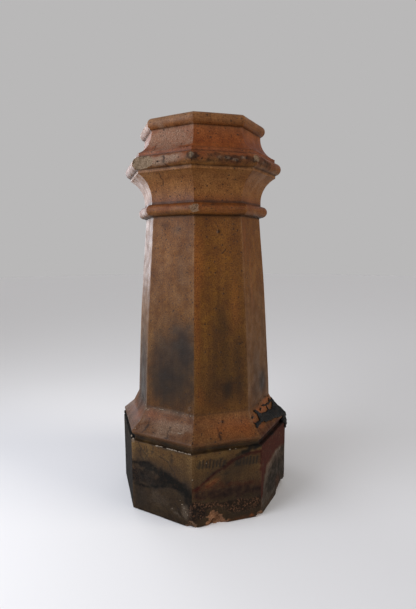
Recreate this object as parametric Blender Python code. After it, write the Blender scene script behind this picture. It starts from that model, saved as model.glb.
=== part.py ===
"""Octagonal terracotta chimney pot: square-cut foot, sloping skirt, tapering shaft and roll-moulded cornice.

Metres, +Z up. The origin is the middle of the underside, and the flats face +X, -X, +Y, -Y and the
diagonals. The pot is one hollow fired piece, open at both ends. An old scab of roofing bitumen clings
to the skirt at one corner, and knocks have taken chips from the rolls and from the foot.
"""

import random
from math import acos, asin, atan2, ceil, cos, degrees, hypot, pi, radians, sin, sqrt, tan

import bmesh
import bpy
from mathutils import Matrix, Vector

# Overall size and plan
POT_HEIGHT = 0.914
SIDES = 8
ARRIS_RADIUS = 0.003
FLUE_CORNER_RADIUS = 0.028
CORNER_STEPS = 2

# Foot: a plumb block with softened edges
FOOT_APOTHEM = 0.201
FOOT_HEIGHT = 0.1755
FOOT_EDGE_RADIUS = 0.0025
FOOT_WALL = 0.030

# Quirk between the foot and the lip of the skirt
QUIRK_DEPTH = 0.0095
QUIRK_HEIGHT = 0.0105

# Skirt: a steep slope, a flatter slope and a round lip
LIP_RADIUS = 0.007
LIP_SETBACK = 0.002
SKIRT_HEIGHT = 0.061
SKIRT_BREAK_REACH = 0.0133
SKIRT_BREAK_DROP = 0.0285
SKIRT_BREAK_RADIUS = 0.025

# Shaft: tapers upwards with a slight swell
SHAFT_FOOT_APOTHEM = 0.1605
SHAFT_TOP_APOTHEM = 0.1330
SHAFT_SWELL = 0.0026
SHAFT_WALL = 0.028

# Astragal and lower neck
ASTRAGAL_RADIUS = 0.0145
LOWER_NECK_PROJECTION = 0.003
LOWER_NECK_HEIGHT = 0.0105

# Big cavetto under the main roll
LOWER_CAVETTO_RISE = 0.055
LOWER_CAVETTO_REACH = 0.032
LOWER_FILLET_HEIGHT = 0.006

# Main roll
MAIN_ROLL_RADIUS = 0.0157
MAIN_ROLL_INSET = 0.0036
UPPER_FILLET_HEIGHT = 0.008

# Upper cavetto, upper neck and top roll
UPPER_NECK_SETBACK = 0.0025
UPPER_NECK_HEIGHT = 0.0017
UPPER_CAVETTO_RISE = 0.050
UPPER_CAVETTO_REACH = 0.0327
TOP_ROLL_RADIUS = 0.0145
TOP_ROLL_INSET = 0.0045

# Flue inside the cornice
MOUTH_WALL = 0.027
MOUTH_EDGE_RADIUS = 0.004
MOUTH_DEPTH = 0.030
CORNICE_WALL = 0.040

# Old bitumen on the skirt
BITUMEN_THICKNESS = 0.0042
BITUMEN_CLEARANCE = 0.0003
BITUMEN_CELL = 0.0055
BITUMEN_RUN_DOWN = 0.016
BITUMEN_RETURN = 0.030
BITUMEN_RUN_WIDTH = 0.018
BITUMEN_THINNEST = 0.75
BITUMEN_THICKEST = 1.15
BITUMEN_RAGGED_ROWS = 0.9

# The bitumen's upper and lower edges: shares across the flat, then shares down the skirt
BITUMEN_UPPER_EDGE = ((0.0, 0.30), (0.15, 0.10), (0.25, 0.24), (0.42, 0.38), (0.80, 0.40), (0.92, 0.14),
                      (1.0, 0.10))
BITUMEN_LOWER_EDGE = ((0.0, 0.46), (0.10, 0.68), (0.32, 0.85), (0.72, 0.93), (0.90, 1.0), (1.0, 1.0))

# Chips: how many times their depth the ball that cuts them is thick, and how lumpy it is
CHIP_FLATNESS = 5.0
CHIP_LUMPS = 0.012
CHIP_DETAIL = 4

# How finely the round mouldings are faceted
ROLL_STEP_DEGREES = 14.0
EDGE_STEPS = 2
SHAFT_STEPS = 7
FLUE_EASE_STEPS = 5
CREASE_DEGREES = 30.0

SIDE_ANGLE = 2 * pi / SIDES
HALF_SIDE = SIDE_ANGLE / 2

# Corners of the octagon by their bearing, in degrees from +X
LEFT_CORNER = -157.5
FRONT_CORNER = -112.5
RIGHT_CORNER = -67.5
BITUMEN_CORNER = -22.5


def arc(centre, radius, start, end):
    """Points of an arc in the (apothem, height) plane, angles in radians."""
    steps = max(EDGE_STEPS, ceil(abs(degrees(end - start)) / ROLL_STEP_DEGREES))
    angles = [start + (end - start) * step / steps for step in range(steps + 1)]
    return [(centre[0] + radius * cos(angle), centre[1] + radius * sin(angle)) for angle in angles]


def rounded_bend(before, corner, after, radius):
    """The arc that rounds off a bend between two straight runs."""
    incoming = (Vector(before) - Vector(corner)).normalized()
    outgoing = (Vector(after) - Vector(corner)).normalized()
    half_opening = incoming.angle(outgoing) / 2
    centre = Vector(corner) + (incoming + outgoing).normalized() * radius / sin(half_opening)
    tangent_length = radius / tan(half_opening)
    first = Vector(corner) + incoming * tangent_length - centre
    last = Vector(corner) + outgoing * tangent_length - centre
    start = atan2(first.y, first.x)
    sweep = (atan2(last.y, last.x) - start + pi) % (2 * pi) - pi
    return arc(centre, radius, start, start + sweep)


def shaft_apothem(share):
    """Apothem of the shaft at a share of its height: a straight taper with a slight swell."""
    taper = SHAFT_FOOT_APOTHEM + (SHAFT_TOP_APOTHEM - SHAFT_FOOT_APOTHEM) * share
    return taper + SHAFT_SWELL * 4 * share * (1 - share)


def roll_reach(apothem, centre_apothem, radius):
    """Height between a roll's centre and the point where it meets a face at the given apothem."""
    return sqrt(radius ** 2 - (apothem - centre_apothem) ** 2)


def cavetto_radius(rise, reach):
    """Radius of a hollow that starts upright and reaches out by reach over rise."""
    return (rise ** 2 + reach ** 2) / (2 * reach)


# Heights of the foot and skirt, built up from the underside
lip_underside = FOOT_HEIGHT + QUIRK_HEIGHT
lip_centre = (FOOT_APOTHEM - LIP_SETBACK - LIP_RADIUS, lip_underside + LIP_RADIUS)
skirt_top = lip_underside + SKIRT_HEIGHT

# The necks follow the shaft: the lower one stands a little proud of it, the upper one sits back a little
lower_neck_apothem = SHAFT_TOP_APOTHEM + LOWER_NECK_PROJECTION
upper_neck_apothem = lower_neck_apothem - UPPER_NECK_SETBACK

# Heights of the cornice, hung from the rim
top_roll_centre = (upper_neck_apothem - TOP_ROLL_INSET, POT_HEIGHT - TOP_ROLL_RADIUS)
upper_neck_top = top_roll_centre[1] - roll_reach(upper_neck_apothem, top_roll_centre[0], TOP_ROLL_RADIUS)
upper_cavetto_top = upper_neck_top - UPPER_NECK_HEIGHT
upper_fillet_top = upper_cavetto_top - UPPER_CAVETTO_RISE
upper_fillet_apothem = upper_neck_apothem + UPPER_CAVETTO_REACH
lower_fillet_apothem = lower_neck_apothem + LOWER_CAVETTO_REACH
main_roll_apothem = lower_fillet_apothem - MAIN_ROLL_INSET
main_roll_upper_reach = roll_reach(upper_fillet_apothem, main_roll_apothem, MAIN_ROLL_RADIUS)
main_roll_lower_reach = roll_reach(lower_fillet_apothem, main_roll_apothem, MAIN_ROLL_RADIUS)
main_roll_centre = (main_roll_apothem, upper_fillet_top - UPPER_FILLET_HEIGHT - main_roll_upper_reach)
lower_cavetto_top = main_roll_centre[1] - main_roll_lower_reach - LOWER_FILLET_HEIGHT
lower_cavetto_foot = lower_cavetto_top - LOWER_CAVETTO_RISE
astragal_centre = (lower_neck_apothem, lower_cavetto_foot - LOWER_NECK_HEIGHT - ASTRAGAL_RADIUS)
shaft_top = astragal_centre[1] - roll_reach(SHAFT_TOP_APOTHEM, astragal_centre[0], ASTRAGAL_RADIUS)


def skirt_profile():
    """The skirt from the underside of its lip up to the foot of the shaft."""
    break_point = (SHAFT_FOOT_APOTHEM + SKIRT_BREAK_REACH, skirt_top - SKIRT_BREAK_DROP)
    to_break = (break_point[0] - lip_centre[0], break_point[1] - lip_centre[1])
    tangent_angle = atan2(to_break[1], to_break[0]) - acos(LIP_RADIUS / hypot(*to_break))
    points = arc(lip_centre, LIP_RADIUS, -pi / 2, tangent_angle)
    points += rounded_bend(points[-1], break_point, (SHAFT_FOOT_APOTHEM, skirt_top), SKIRT_BREAK_RADIUS)
    return points + [(SHAFT_FOOT_APOTHEM, skirt_top)]


def foot_profile():
    """The plumb block of the foot and the quirk above it."""
    inset = FOOT_APOTHEM - FOOT_EDGE_RADIUS
    points = arc((inset, FOOT_EDGE_RADIUS), FOOT_EDGE_RADIUS, -pi / 2, 0)
    points += arc((inset, FOOT_HEIGHT - FOOT_EDGE_RADIUS), FOOT_EDGE_RADIUS, 0, pi / 2)
    quirk_apothem = FOOT_APOTHEM - QUIRK_DEPTH
    return points + [(quirk_apothem, FOOT_HEIGHT), (quirk_apothem, lip_underside)]


def shaft_profile():
    """The shaft between the skirt and the astragal, both ends left to their neighbours."""
    shares = [step / SHAFT_STEPS for step in range(1, SHAFT_STEPS)]
    return [(shaft_apothem(share), skirt_top + (shaft_top - skirt_top) * share) for share in shares]


def cornice_profile():
    """Astragal, neck, cavetto, main roll between fillets, upper cavetto and top roll."""
    shaft_meets = acos((SHAFT_TOP_APOTHEM - astragal_centre[0]) / ASTRAGAL_RADIUS)
    points = arc(astragal_centre, ASTRAGAL_RADIUS, -shaft_meets, pi / 2)

    hollow = cavetto_radius(LOWER_CAVETTO_RISE, LOWER_CAVETTO_REACH)
    sweep = asin(LOWER_CAVETTO_RISE / hollow)
    points += arc((lower_neck_apothem + hollow, lower_cavetto_foot), hollow, pi, pi - sweep)

    lower_meets = acos((lower_fillet_apothem - main_roll_apothem) / MAIN_ROLL_RADIUS)
    upper_meets = acos((upper_fillet_apothem - main_roll_apothem) / MAIN_ROLL_RADIUS)
    points += arc(main_roll_centre, MAIN_ROLL_RADIUS, -lower_meets, upper_meets)

    hollow = cavetto_radius(UPPER_CAVETTO_RISE, UPPER_CAVETTO_REACH)
    sweep = asin(UPPER_CAVETTO_RISE / hollow)
    points += arc((upper_neck_apothem + hollow, upper_cavetto_top), hollow, pi + sweep, pi)

    neck_meets = acos(TOP_ROLL_INSET / TOP_ROLL_RADIUS)
    return points + arc(top_roll_centre, TOP_ROLL_RADIUS, -neck_meets, pi / 2)


def eased(start, end):
    """Points after start up to end, leaving and arriving upright."""
    points = []
    for step in range(1, FLUE_EASE_STEPS + 1):
        share = step / FLUE_EASE_STEPS
        blend = (1 - cos(pi * share)) / 2
        apothem = start[0] + (end[0] - start[0]) * blend
        points.append((apothem, start[1] + (end[1] - start[1]) * share))
    return points


def flue_profile():
    """The inside from the rim down to the underside, each stretch a wall's thickness behind the outside."""
    mouth_apothem = upper_neck_apothem - MOUTH_WALL
    edge_centre = (mouth_apothem + MOUTH_EDGE_RADIUS, POT_HEIGHT - MOUTH_EDGE_RADIUS)
    mouth_foot = (mouth_apothem, POT_HEIGHT - MOUTH_DEPTH)
    belly = (main_roll_apothem + MAIN_ROLL_RADIUS - CORNICE_WALL, main_roll_centre[1])
    throat = (SHAFT_TOP_APOTHEM - SHAFT_WALL, shaft_top)
    shaft_foot = (SHAFT_FOOT_APOTHEM - SHAFT_WALL, skirt_top)
    foot_apothem = FOOT_APOTHEM - FOOT_WALL
    points = arc(edge_centre, MOUTH_EDGE_RADIUS, pi / 2, pi)
    points += [mouth_foot] + eased(mouth_foot, belly) + eased(belly, throat)
    points += [(apothem - SHAFT_WALL, height) for apothem, height in reversed(shaft_profile())]
    points += [shaft_foot] + eased(shaft_foot, (foot_apothem, FOOT_HEIGHT - FOOT_WALL))
    edge_centre = (foot_apothem + FOOT_EDGE_RADIUS, FOOT_EDGE_RADIUS)
    return points + arc(edge_centre, FOOT_EDGE_RADIUS, pi, 3 * pi / 2)


def corner_point(bearing, apothem, corner_radius, share, height):
    """A point on a rounded corner, share 0 and 1 being where its two flats begin."""
    centre_distance = (apothem - corner_radius) / cos(HALF_SIDE)
    turn = bearing + (share - 0.5) * SIDE_ANGLE
    return Vector((centre_distance * cos(bearing) + corner_radius * cos(turn),
                   centre_distance * sin(bearing) + corner_radius * sin(turn), height))


def octagon(apothem, corner_radius, height):
    """One level of the pot, its points running anticlockwise seen from above."""
    points = []
    for corner in range(SIDES):
        bearing = HALF_SIDE + corner * SIDE_ANGLE
        for step in range(CORNER_STEPS + 1):
            points.append(corner_point(bearing, apothem, corner_radius, step / CORNER_STEPS, height))
    return points


def mesh_object(name, bm, material):
    """Turn a bmesh into an object with its own material, shaded smooth but for its creases."""
    mesh = bpy.data.meshes.new(name)
    bm.to_mesh(mesh)
    bm.free()
    mesh.shade_smooth()
    mesh.set_sharp_from_angle(angle=radians(CREASE_DEGREES))
    if material:
        mesh.materials.append(material)
    result = bpy.data.objects.new(name, mesh)
    bpy.context.scene.collection.objects.link(result)
    return result


def plain_material(name, colour, roughness):
    """A Principled material with one colour."""
    material = bpy.data.materials.new(name)
    material.use_nodes = True
    shader = material.node_tree.nodes["Principled BSDF"]
    shader.inputs["Base Color"].default_value = (*colour, 1.0)
    shader.inputs["Roughness"].default_value = roughness
    shader.inputs["Metallic"].default_value = 0.0
    return material


def pot_body(material):
    """The pot's shell: octagons lofted up the outside, over the rim and down the flue."""
    outside = foot_profile() + skirt_profile() + shaft_profile() + cornice_profile()
    levels = [octagon(apothem, ARRIS_RADIUS, height) for apothem, height in outside]
    levels += [octagon(apothem, FLUE_CORNER_RADIUS, height) for apothem, height in flue_profile()]
    bm = bmesh.new()
    rings = [[bm.verts.new(point) for point in level] for level in levels]
    for index, ring in enumerate(rings):
        above = rings[(index + 1) % len(rings)]
        for near in range(len(ring)):
            far = (near + 1) % len(ring)
            bm.faces.new((ring[near], ring[far], above[far], above[near]))
    bmesh.ops.recalc_face_normals(bm, faces=bm.faces)
    return mesh_object("chimney_pot", bm, material)


def cut_chip(pot, name, bearing, distance, height, half_length, half_height, depth,
             along=0.0, flatness=CHIP_FLATNESS):
    """Knock a chip off the pot: a lumpy ball, flatness times as thick as the chip, bites in by depth.

    bearing is the direction that the chip faces, in degrees from +X, distance is that of the surface it
    bites into, and along shifts it sideways. half_length and half_height are those of its outline.
    """
    bm = bmesh.new()
    bmesh.ops.create_icosphere(bm, subdivisions=CHIP_DETAIL, radius=1.0)
    lumps = random.Random(name)
    for vertex in bm.verts:
        vertex.co *= 1 + CHIP_LUMPS * lumps.uniform(-1, 1)
    cutter = mesh_object(name, bm, None)
    half_thickness = depth * flatness
    spread = sqrt(1 - (1 - 1 / flatness) ** 2)
    half_size = (half_thickness, half_length / spread, half_height / spread, 1.0)
    centre = Vector((distance + half_thickness - depth, along, height))
    turn = Matrix.Rotation(radians(bearing), 4, "Z")
    cutter.data.transform(turn @ Matrix.Translation(centre) @ Matrix.Diagonal(half_size))
    cutter.hide_render = True
    cutter.display_type = "WIRE"
    bite = pot.modifiers.new(name, "BOOLEAN")
    bite.operation = "DIFFERENCE"
    bite.solver = "EXACT"
    bite.object = cutter


def chip_rolls(pot):
    """Knocks on the cornice: three on the main roll and one on the astragal."""
    face = main_roll_apothem + MAIN_ROLL_RADIUS
    arris = face / cos(HALF_SIDE)
    middle = main_roll_centre[1]
    cut_chip(pot, "main_roll_left_chip", bearing=-145.0, distance=face, height=middle + 0.001,
             half_length=0.032, half_height=0.024, depth=0.0065, along=-0.019)
    cut_chip(pot, "main_roll_front_chip", bearing=FRONT_CORNER, distance=arris, height=middle + 0.006,
             half_length=0.009, half_height=0.013, depth=0.0045)
    cut_chip(pot, "main_roll_right_chip", bearing=RIGHT_CORNER, distance=arris, height=middle + 0.007,
             half_length=0.014, half_height=0.014, depth=0.0060)

    arris = (astragal_centre[0] + ASTRAGAL_RADIUS) / cos(HALF_SIDE)
    middle = astragal_centre[1]
    cut_chip(pot, "astragal_front_chip", bearing=FRONT_CORNER, distance=arris, height=middle + 0.003,
             half_length=0.018, half_height=0.014, depth=0.0070, along=0.003)


def chip_foot(pot):
    """Knocks on the foot: a spall, two worn corners, a longer break at the side and one on the ledge."""
    arris = FOOT_APOTHEM / cos(HALF_SIDE)
    cut_chip(pot, "foot_front_spall", bearing=-90.0, distance=FOOT_APOTHEM, height=-0.004,
             half_length=0.027, half_height=0.042, depth=0.0125, along=-0.025)
    cut_chip(pot, "foot_front_corner_wear", bearing=FRONT_CORNER, distance=arris, height=-0.002,
             half_length=0.032, half_height=0.022, depth=0.0100)
    cut_chip(pot, "foot_right_corner_wear", bearing=RIGHT_CORNER, distance=arris, height=-0.002,
             half_length=0.026, half_height=0.020, depth=0.0100)
    cut_chip(pot, "foot_side_break", bearing=-32.0, distance=FOOT_APOTHEM, height=-0.003,
             half_length=0.041, half_height=0.022, depth=0.0210, along=0.012, flatness=1.5)
    cut_chip(pot, "foot_ledge_chip", bearing=LEFT_CORNER, distance=arris, height=FOOT_HEIGHT,
             half_length=0.013, half_height=0.007, depth=0.0070, along=0.004)


def finely_stepped(points, longest):
    """The same polyline with its long runs split into equal shorter ones."""
    stepped = [points[0]]
    for start, end in zip(points, points[1:]):
        steps = max(1, round(hypot(end[0] - start[0], end[1] - start[1]) / longest))
        for step in range(1, steps + 1):
            share = step / steps
            stepped.append((start[0] + (end[0] - start[0]) * share, start[1] + (end[1] - start[1]) * share))
    return stepped


def bitumen_path():
    """Down the skirt from the foot of the shaft, over the lip and straight onto the top of the foot.

    Returns the path and the number of its rows that lie on the skirt.
    """
    skirt = finely_stepped([point for point in reversed(skirt_profile()) if point[1] >= lip_centre[1]],
                           BITUMEN_CELL)
    foot_edge = (FOOT_APOTHEM, FOOT_HEIGHT - FOOT_EDGE_RADIUS)
    run_end = (FOOT_APOTHEM, foot_edge[1] - BITUMEN_RUN_DOWN)
    run_down = finely_stepped([skirt[-1], foot_edge, run_end], BITUMEN_CELL)
    return skirt + run_down[1:], len(skirt) - 1


def path_normals(path):
    """Outward directions along the path, averaged where two runs meet."""
    normals = []
    for index in range(len(path)):
        before = path[max(index - 1, 0)]
        after = path[min(index + 1, len(path) - 1)]
        along = Vector((after[0] - before[0], after[1] - before[1])).normalized()
        normals.append((-along.y, along.x))
    return normals


def bitumen_columns():
    """Stations round the bitumen's corner: across one flat, round the arris and a little way back.

    Each station is the side of the arris that it lies on, its distance from the arris along that side
    as a share of half a side, and its share of the rounded corner.
    """
    half_side = FOOT_APOTHEM * tan(HALF_SIDE)
    across = round(2 * half_side / BITUMEN_CELL)
    back = max(2, round(BITUMEN_RETURN / BITUMEN_CELL))
    back_share = BITUMEN_RETURN / half_side
    stations = [(-1, 2 * (across - step) / across, 0.0) for step in range(across)]
    stations += [(0, 0.0, step / CORNER_STEPS) for step in range(CORNER_STEPS + 1)]
    return stations + [(1, back_share * step / back, 1.0) for step in range(1, back + 1)]


def bitumen_point(station, apothem, corner_radius, height):
    """Where a station lies at one level of the pot."""
    side, share, corner_share = station
    bearing = radians(BITUMEN_CORNER)
    start = corner_point(bearing, apothem, corner_radius, corner_share, height)
    run = share * (apothem - corner_radius) * tan(HALF_SIDE)
    facing = bearing + side * HALF_SIDE
    return start + side * run * Vector((-sin(facing), cos(facing), 0.0))


def edge_share(edge, across):
    """How far down the skirt an edge of the bitumen lies, read between its points."""
    for (start, start_down), (end, end_down) in zip(edge, edge[1:]):
        if across <= end:
            return start_down + (end_down - start_down) * (across - start) / (end - start)
    return edge[-1][1]


def bitumen_extent(station, skirt_rows, rows, ragged):
    """First and last row of the patch at a station: ragged edges, and a run-down at the arris."""
    side, share, _ = station
    across = 1 - share / 2
    upper_jag = ragged.uniform(-BITUMEN_RAGGED_ROWS, BITUMEN_RAGGED_ROWS)
    lower_jag = ragged.uniform(-BITUMEN_RAGGED_ROWS, BITUMEN_RAGGED_ROWS)
    first = round(edge_share(BITUMEN_UPPER_EDGE, across) * skirt_rows + upper_jag)
    last = round(edge_share(BITUMEN_LOWER_EDGE, across) * skirt_rows + lower_jag)
    if side > 0:
        last -= ragged.choice((1, 2))
    if share * FOOT_APOTHEM * tan(HALF_SIDE) < BITUMEN_RUN_WIDTH / 2:
        last = rows if side == 0 else rows - ragged.choice((1, 2, 3))
    return max(first, 0), max(last, first + 2)


def bitumen_patch(material):
    """A ragged skin of bitumen, lying a hair clear of the skirt and thick enough to stand proud."""
    path, skirt_rows = bitumen_path()
    normals = path_normals(path)
    stations = bitumen_columns()
    ragged = random.Random("old bitumen")
    extents = [bitumen_extent(station, skirt_rows, len(path) - 1, ragged) for station in stations[:-1]]
    bm = bmesh.new()

    def layer(lift, thinnest, thickest):
        grid = {}
        for column, station in enumerate(stations):
            for row, ((apothem, height), (out, up)) in enumerate(zip(path, normals)):
                rise = lift * ragged.uniform(thinnest, thickest)
                point = bitumen_point(station, apothem + rise * out, ARRIS_RADIUS + rise * out,
                                      height + rise * up)
                grid[column, row] = bm.verts.new(point)
        return grid

    inner = layer(BITUMEN_CLEARANCE, 1.0, 1.0)
    outer = layer(BITUMEN_CLEARANCE + BITUMEN_THICKNESS, BITUMEN_THINNEST, BITUMEN_THICKEST)
    cells = {(column, row) for column, (first, last) in enumerate(extents) for row in range(first, last)}
    for column, row in sorted(cells):
        loop = [(column, row), (column, row + 1), (column + 1, row + 1), (column + 1, row)]
        bm.faces.new([outer[key] for key in loop])
        bm.faces.new([inner[key] for key in reversed(loop)])
        neighbours = [(column - 1, row), (column, row + 1), (column + 1, row), (column, row - 1)]
        for index, neighbour in enumerate(neighbours):
            if neighbour not in cells:
                start, end = loop[index], loop[(index + 1) % len(loop)]
                bm.faces.new((inner[start], inner[end], outer[end], outer[start]))
    bmesh.ops.delete(bm, geom=[vertex for vertex in bm.verts if not vertex.link_faces], context="VERTS")
    bmesh.ops.recalc_face_normals(bm, faces=bm.faces)
    return mesh_object("bitumen_patch", bm, material)


for old_object in list(bpy.data.objects):
    bpy.data.objects.remove(old_object, do_unlink=True)

terracotta = plain_material("terracotta", (0.16, 0.075, 0.035), 0.55)
bitumen = plain_material("bitumen", (0.008, 0.007, 0.006), 0.6)
chimney_pot = pot_body(terracotta)
chip_rolls(chimney_pot)
chip_foot(chimney_pot)
even_shading = chimney_pot.modifiers.new("even_shading", "WEIGHTED_NORMAL")
even_shading.keep_sharp = True
bitumen_patch(bitumen)
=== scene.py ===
import random
from math import acos, asin, atan2, ceil, cos, hypot, pi, radians, sin, sqrt, tan

import bmesh
import bpy
import numpy as np
from mathutils import Matrix, Vector, noise


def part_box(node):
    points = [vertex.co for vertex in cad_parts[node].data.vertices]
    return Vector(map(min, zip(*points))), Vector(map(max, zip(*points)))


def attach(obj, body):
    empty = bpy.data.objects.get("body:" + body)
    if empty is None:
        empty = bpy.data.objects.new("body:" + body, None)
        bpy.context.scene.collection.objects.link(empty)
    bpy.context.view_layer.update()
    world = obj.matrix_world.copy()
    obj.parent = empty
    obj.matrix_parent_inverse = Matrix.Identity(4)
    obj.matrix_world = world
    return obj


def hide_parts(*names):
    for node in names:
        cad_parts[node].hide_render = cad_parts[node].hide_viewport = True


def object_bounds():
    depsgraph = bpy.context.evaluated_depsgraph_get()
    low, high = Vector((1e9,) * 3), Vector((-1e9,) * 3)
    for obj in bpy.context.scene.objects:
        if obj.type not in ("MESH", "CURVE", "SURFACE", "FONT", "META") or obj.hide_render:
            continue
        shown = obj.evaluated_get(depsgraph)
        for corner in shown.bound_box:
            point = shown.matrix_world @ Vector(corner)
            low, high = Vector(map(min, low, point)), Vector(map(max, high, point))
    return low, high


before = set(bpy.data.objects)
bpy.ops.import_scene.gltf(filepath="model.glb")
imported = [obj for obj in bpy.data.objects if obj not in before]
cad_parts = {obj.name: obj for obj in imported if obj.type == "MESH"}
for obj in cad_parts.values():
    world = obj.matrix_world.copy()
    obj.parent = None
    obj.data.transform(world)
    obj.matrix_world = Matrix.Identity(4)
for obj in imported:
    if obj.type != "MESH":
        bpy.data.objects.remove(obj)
cad_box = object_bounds()
scene = bpy.context.scene
MM = 0.001

# The camera
# It stands a long pace from the pot, a little to its left and at two thirds of its height, with a wide
# lens tipped slightly down.
CAMERA_DISTANCE = 1.1106
CAMERA_HEIGHT = 0.6259
CAMERA_BEARING = radians(-15.8)
CAMERA_TIP = radians(7.57)
CAMERA_LEAN = radians(-0.30)
LENS_MM = 25.64
SIDEWAYS_SHIFT = 0.0092


def placed(name, data):
    """A new object of the scene for a mesh, a lamp or the camera."""
    made = bpy.data.objects.new(name, data)
    scene.collection.objects.link(made)
    return made


camera = placed("camera", bpy.data.cameras.new("camera"))
camera.data.lens = LENS_MM
camera.data.shift_x = SIDEWAYS_SHIFT
stand = Vector((sin(CAMERA_BEARING), -cos(CAMERA_BEARING), 0)) * CAMERA_DISTANCE
stand.z = CAMERA_HEIGHT
camera.matrix_world = (Matrix.Translation(stand) @ Matrix.Rotation(CAMERA_BEARING, 4, "Z")
                       @ Matrix.Rotation(pi / 2 - CAMERA_TIP, 4, "X") @ Matrix.Rotation(CAMERA_LEAN, 4, "Z"))
scene.camera = camera

# The pot
# One hollow octagon of red clay pressed in a mould, its rolls and hollows struck with a running template,
# then fired and salt-glazed. Open at the top and at the underside.
pot_low, pot_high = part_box("chimney_pot")
POT_HEIGHT = pot_high.z
FOOT_APOTHEM = -pot_low.y
SIDES = 8
ARRIS_RADIUS = 3 * MM
FLUE_CORNER_RADIUS = 28 * MM

FOOT_HEIGHT = 175.5 * MM
FOOT_EDGE_RADIUS = 2.5 * MM
FOOT_WALL = 30 * MM
QUIRK_DEPTH = 9.5 * MM
QUIRK_HEIGHT = 10.5 * MM
LIP_RADIUS = 7 * MM
LIP_SETBACK = 2 * MM
SKIRT_HEIGHT = 61 * MM
SKIRT_BREAK_REACH = 13.3 * MM
SKIRT_BREAK_DROP = 28.5 * MM
SKIRT_BREAK_RADIUS = 25 * MM

SHAFT_FOOT_APOTHEM = 160.5 * MM
SHAFT_TOP_APOTHEM = 133 * MM
SHAFT_SWELL = 2.6 * MM
SHAFT_WALL = 28 * MM

ASTRAGAL_RADIUS = 14.5 * MM
LOWER_NECK_PROJECTION = 3 * MM
LOWER_NECK_HEIGHT = 10.5 * MM
LOWER_CAVETTO_RISE = 55 * MM
LOWER_CAVETTO_REACH = 32 * MM
LOWER_FILLET_HEIGHT = 6 * MM
MAIN_ROLL_RADIUS = 15.7 * MM
MAIN_ROLL_INSET = 3.6 * MM
UPPER_FILLET_HEIGHT = 8 * MM
UPPER_NECK_SETBACK = 2.5 * MM
UPPER_NECK_HEIGHT = 1.7 * MM
UPPER_CAVETTO_RISE = 50 * MM
UPPER_CAVETTO_REACH = 32.7 * MM
TOP_ROLL_RADIUS = 14.5 * MM
TOP_ROLL_INSET = 4.5 * MM
MOUTH_WALL = 27 * MM
MOUTH_EDGE_RADIUS = 4 * MM
MOUTH_DEPTH = 30 * MM
CORNICE_WALL = 40 * MM

SIDE_ANGLE = 2 * pi / SIDES
HALF_SIDE = SIDE_ANGLE / 2
ARRIS_STEPS = 4
FLAT_STEPS = 22
SHAFT_STEPS = 16
EASED_STEPS = 6
PLAIN_CELL = 6 * MM
RIM_CELL = 4 * MM
SKIRT_CELL = 3.2 * MM
ROLL_CELL = 2.0 * MM
EDGE_CELL = 1.3 * MM
FLUE_CELL = 20 * MM

# The faces by the bearing of their outward direction in degrees, and the corners that the camera sees
FACES = tuple(-180.0 + 360.0 / SIDES * side for side in range(SIDES))
LEFT, FRONT_LEFT, FRONT, RIGHT, FAR_RIGHT, BACK_RIGHT, BACK, BACK_LEFT = FACES
LEFT_CORNER, FRONT_CORNER, RIGHT_CORNER, BITUMEN_CORNER = -157.5, -112.5, -67.5, -22.5
FAR_LEFT_CORNER = 157.5


def arc(centre, radius, start, end, cell=ROLL_CELL):
    """Points of an arc in the (apothem, height) plane, angles in radians."""
    steps = max(2, ceil(abs(end - start) * radius / cell))
    angles = [start + (end - start) * step / steps for step in range(steps + 1)]
    return [(centre[0] + radius * cos(angle), centre[1] + radius * sin(angle)) for angle in angles]


def rounded_bend(before, corner, after, radius):
    """The arc that rounds off a bend between two straight runs."""
    incoming = (Vector(before) - Vector(corner)).normalized()
    outgoing = (Vector(after) - Vector(corner)).normalized()
    half_opening = incoming.angle(outgoing) / 2
    centre = Vector(corner) + (incoming + outgoing).normalized() * radius / sin(half_opening)
    first = Vector(corner) + incoming * radius / tan(half_opening) - centre
    last = Vector(corner) + outgoing * radius / tan(half_opening) - centre
    start = atan2(first.y, first.x)
    sweep = (atan2(last.y, last.x) - start + pi) % (2 * pi) - pi
    return arc(centre, radius, start, start + sweep)


def finely_stepped(points, longest):
    """The same polyline with its long runs split into equal shorter ones."""
    stepped = [points[0]]
    for start, end in zip(points, points[1:]):
        steps = max(1, ceil(hypot(end[0] - start[0], end[1] - start[1]) / longest))
        for step in range(1, steps + 1):
            share = step / steps
            stepped.append((start[0] + (end[0] - start[0]) * share,
                            start[1] + (end[1] - start[1]) * share))
    return stepped


def roll_reach(apothem, centre_apothem, radius):
    """Height between a roll's centre and the point where it meets a face at the given apothem."""
    return sqrt(radius ** 2 - (apothem - centre_apothem) ** 2)


def cavetto_radius(rise, reach):
    """Radius of a hollow that starts upright and reaches out by reach over rise."""
    return (rise ** 2 + reach ** 2) / (2 * reach)


lip_underside = FOOT_HEIGHT + QUIRK_HEIGHT
lip_centre = (FOOT_APOTHEM - LIP_SETBACK - LIP_RADIUS, lip_underside + LIP_RADIUS)
skirt_top = lip_underside + SKIRT_HEIGHT
lower_neck = SHAFT_TOP_APOTHEM + LOWER_NECK_PROJECTION
upper_neck = lower_neck - UPPER_NECK_SETBACK
top_roll_centre = (upper_neck - TOP_ROLL_INSET, POT_HEIGHT - TOP_ROLL_RADIUS)
upper_neck_top = top_roll_centre[1] - roll_reach(upper_neck, top_roll_centre[0], TOP_ROLL_RADIUS)
upper_cavetto_top = upper_neck_top - UPPER_NECK_HEIGHT
upper_fillet_top = upper_cavetto_top - UPPER_CAVETTO_RISE
upper_fillet = upper_neck + UPPER_CAVETTO_REACH
lower_fillet = lower_neck + LOWER_CAVETTO_REACH
main_roll_apothem = lower_fillet - MAIN_ROLL_INSET
main_roll_top = upper_fillet_top - UPPER_FILLET_HEIGHT
main_roll_centre = (main_roll_apothem,
                    main_roll_top - roll_reach(upper_fillet, main_roll_apothem, MAIN_ROLL_RADIUS))
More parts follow.
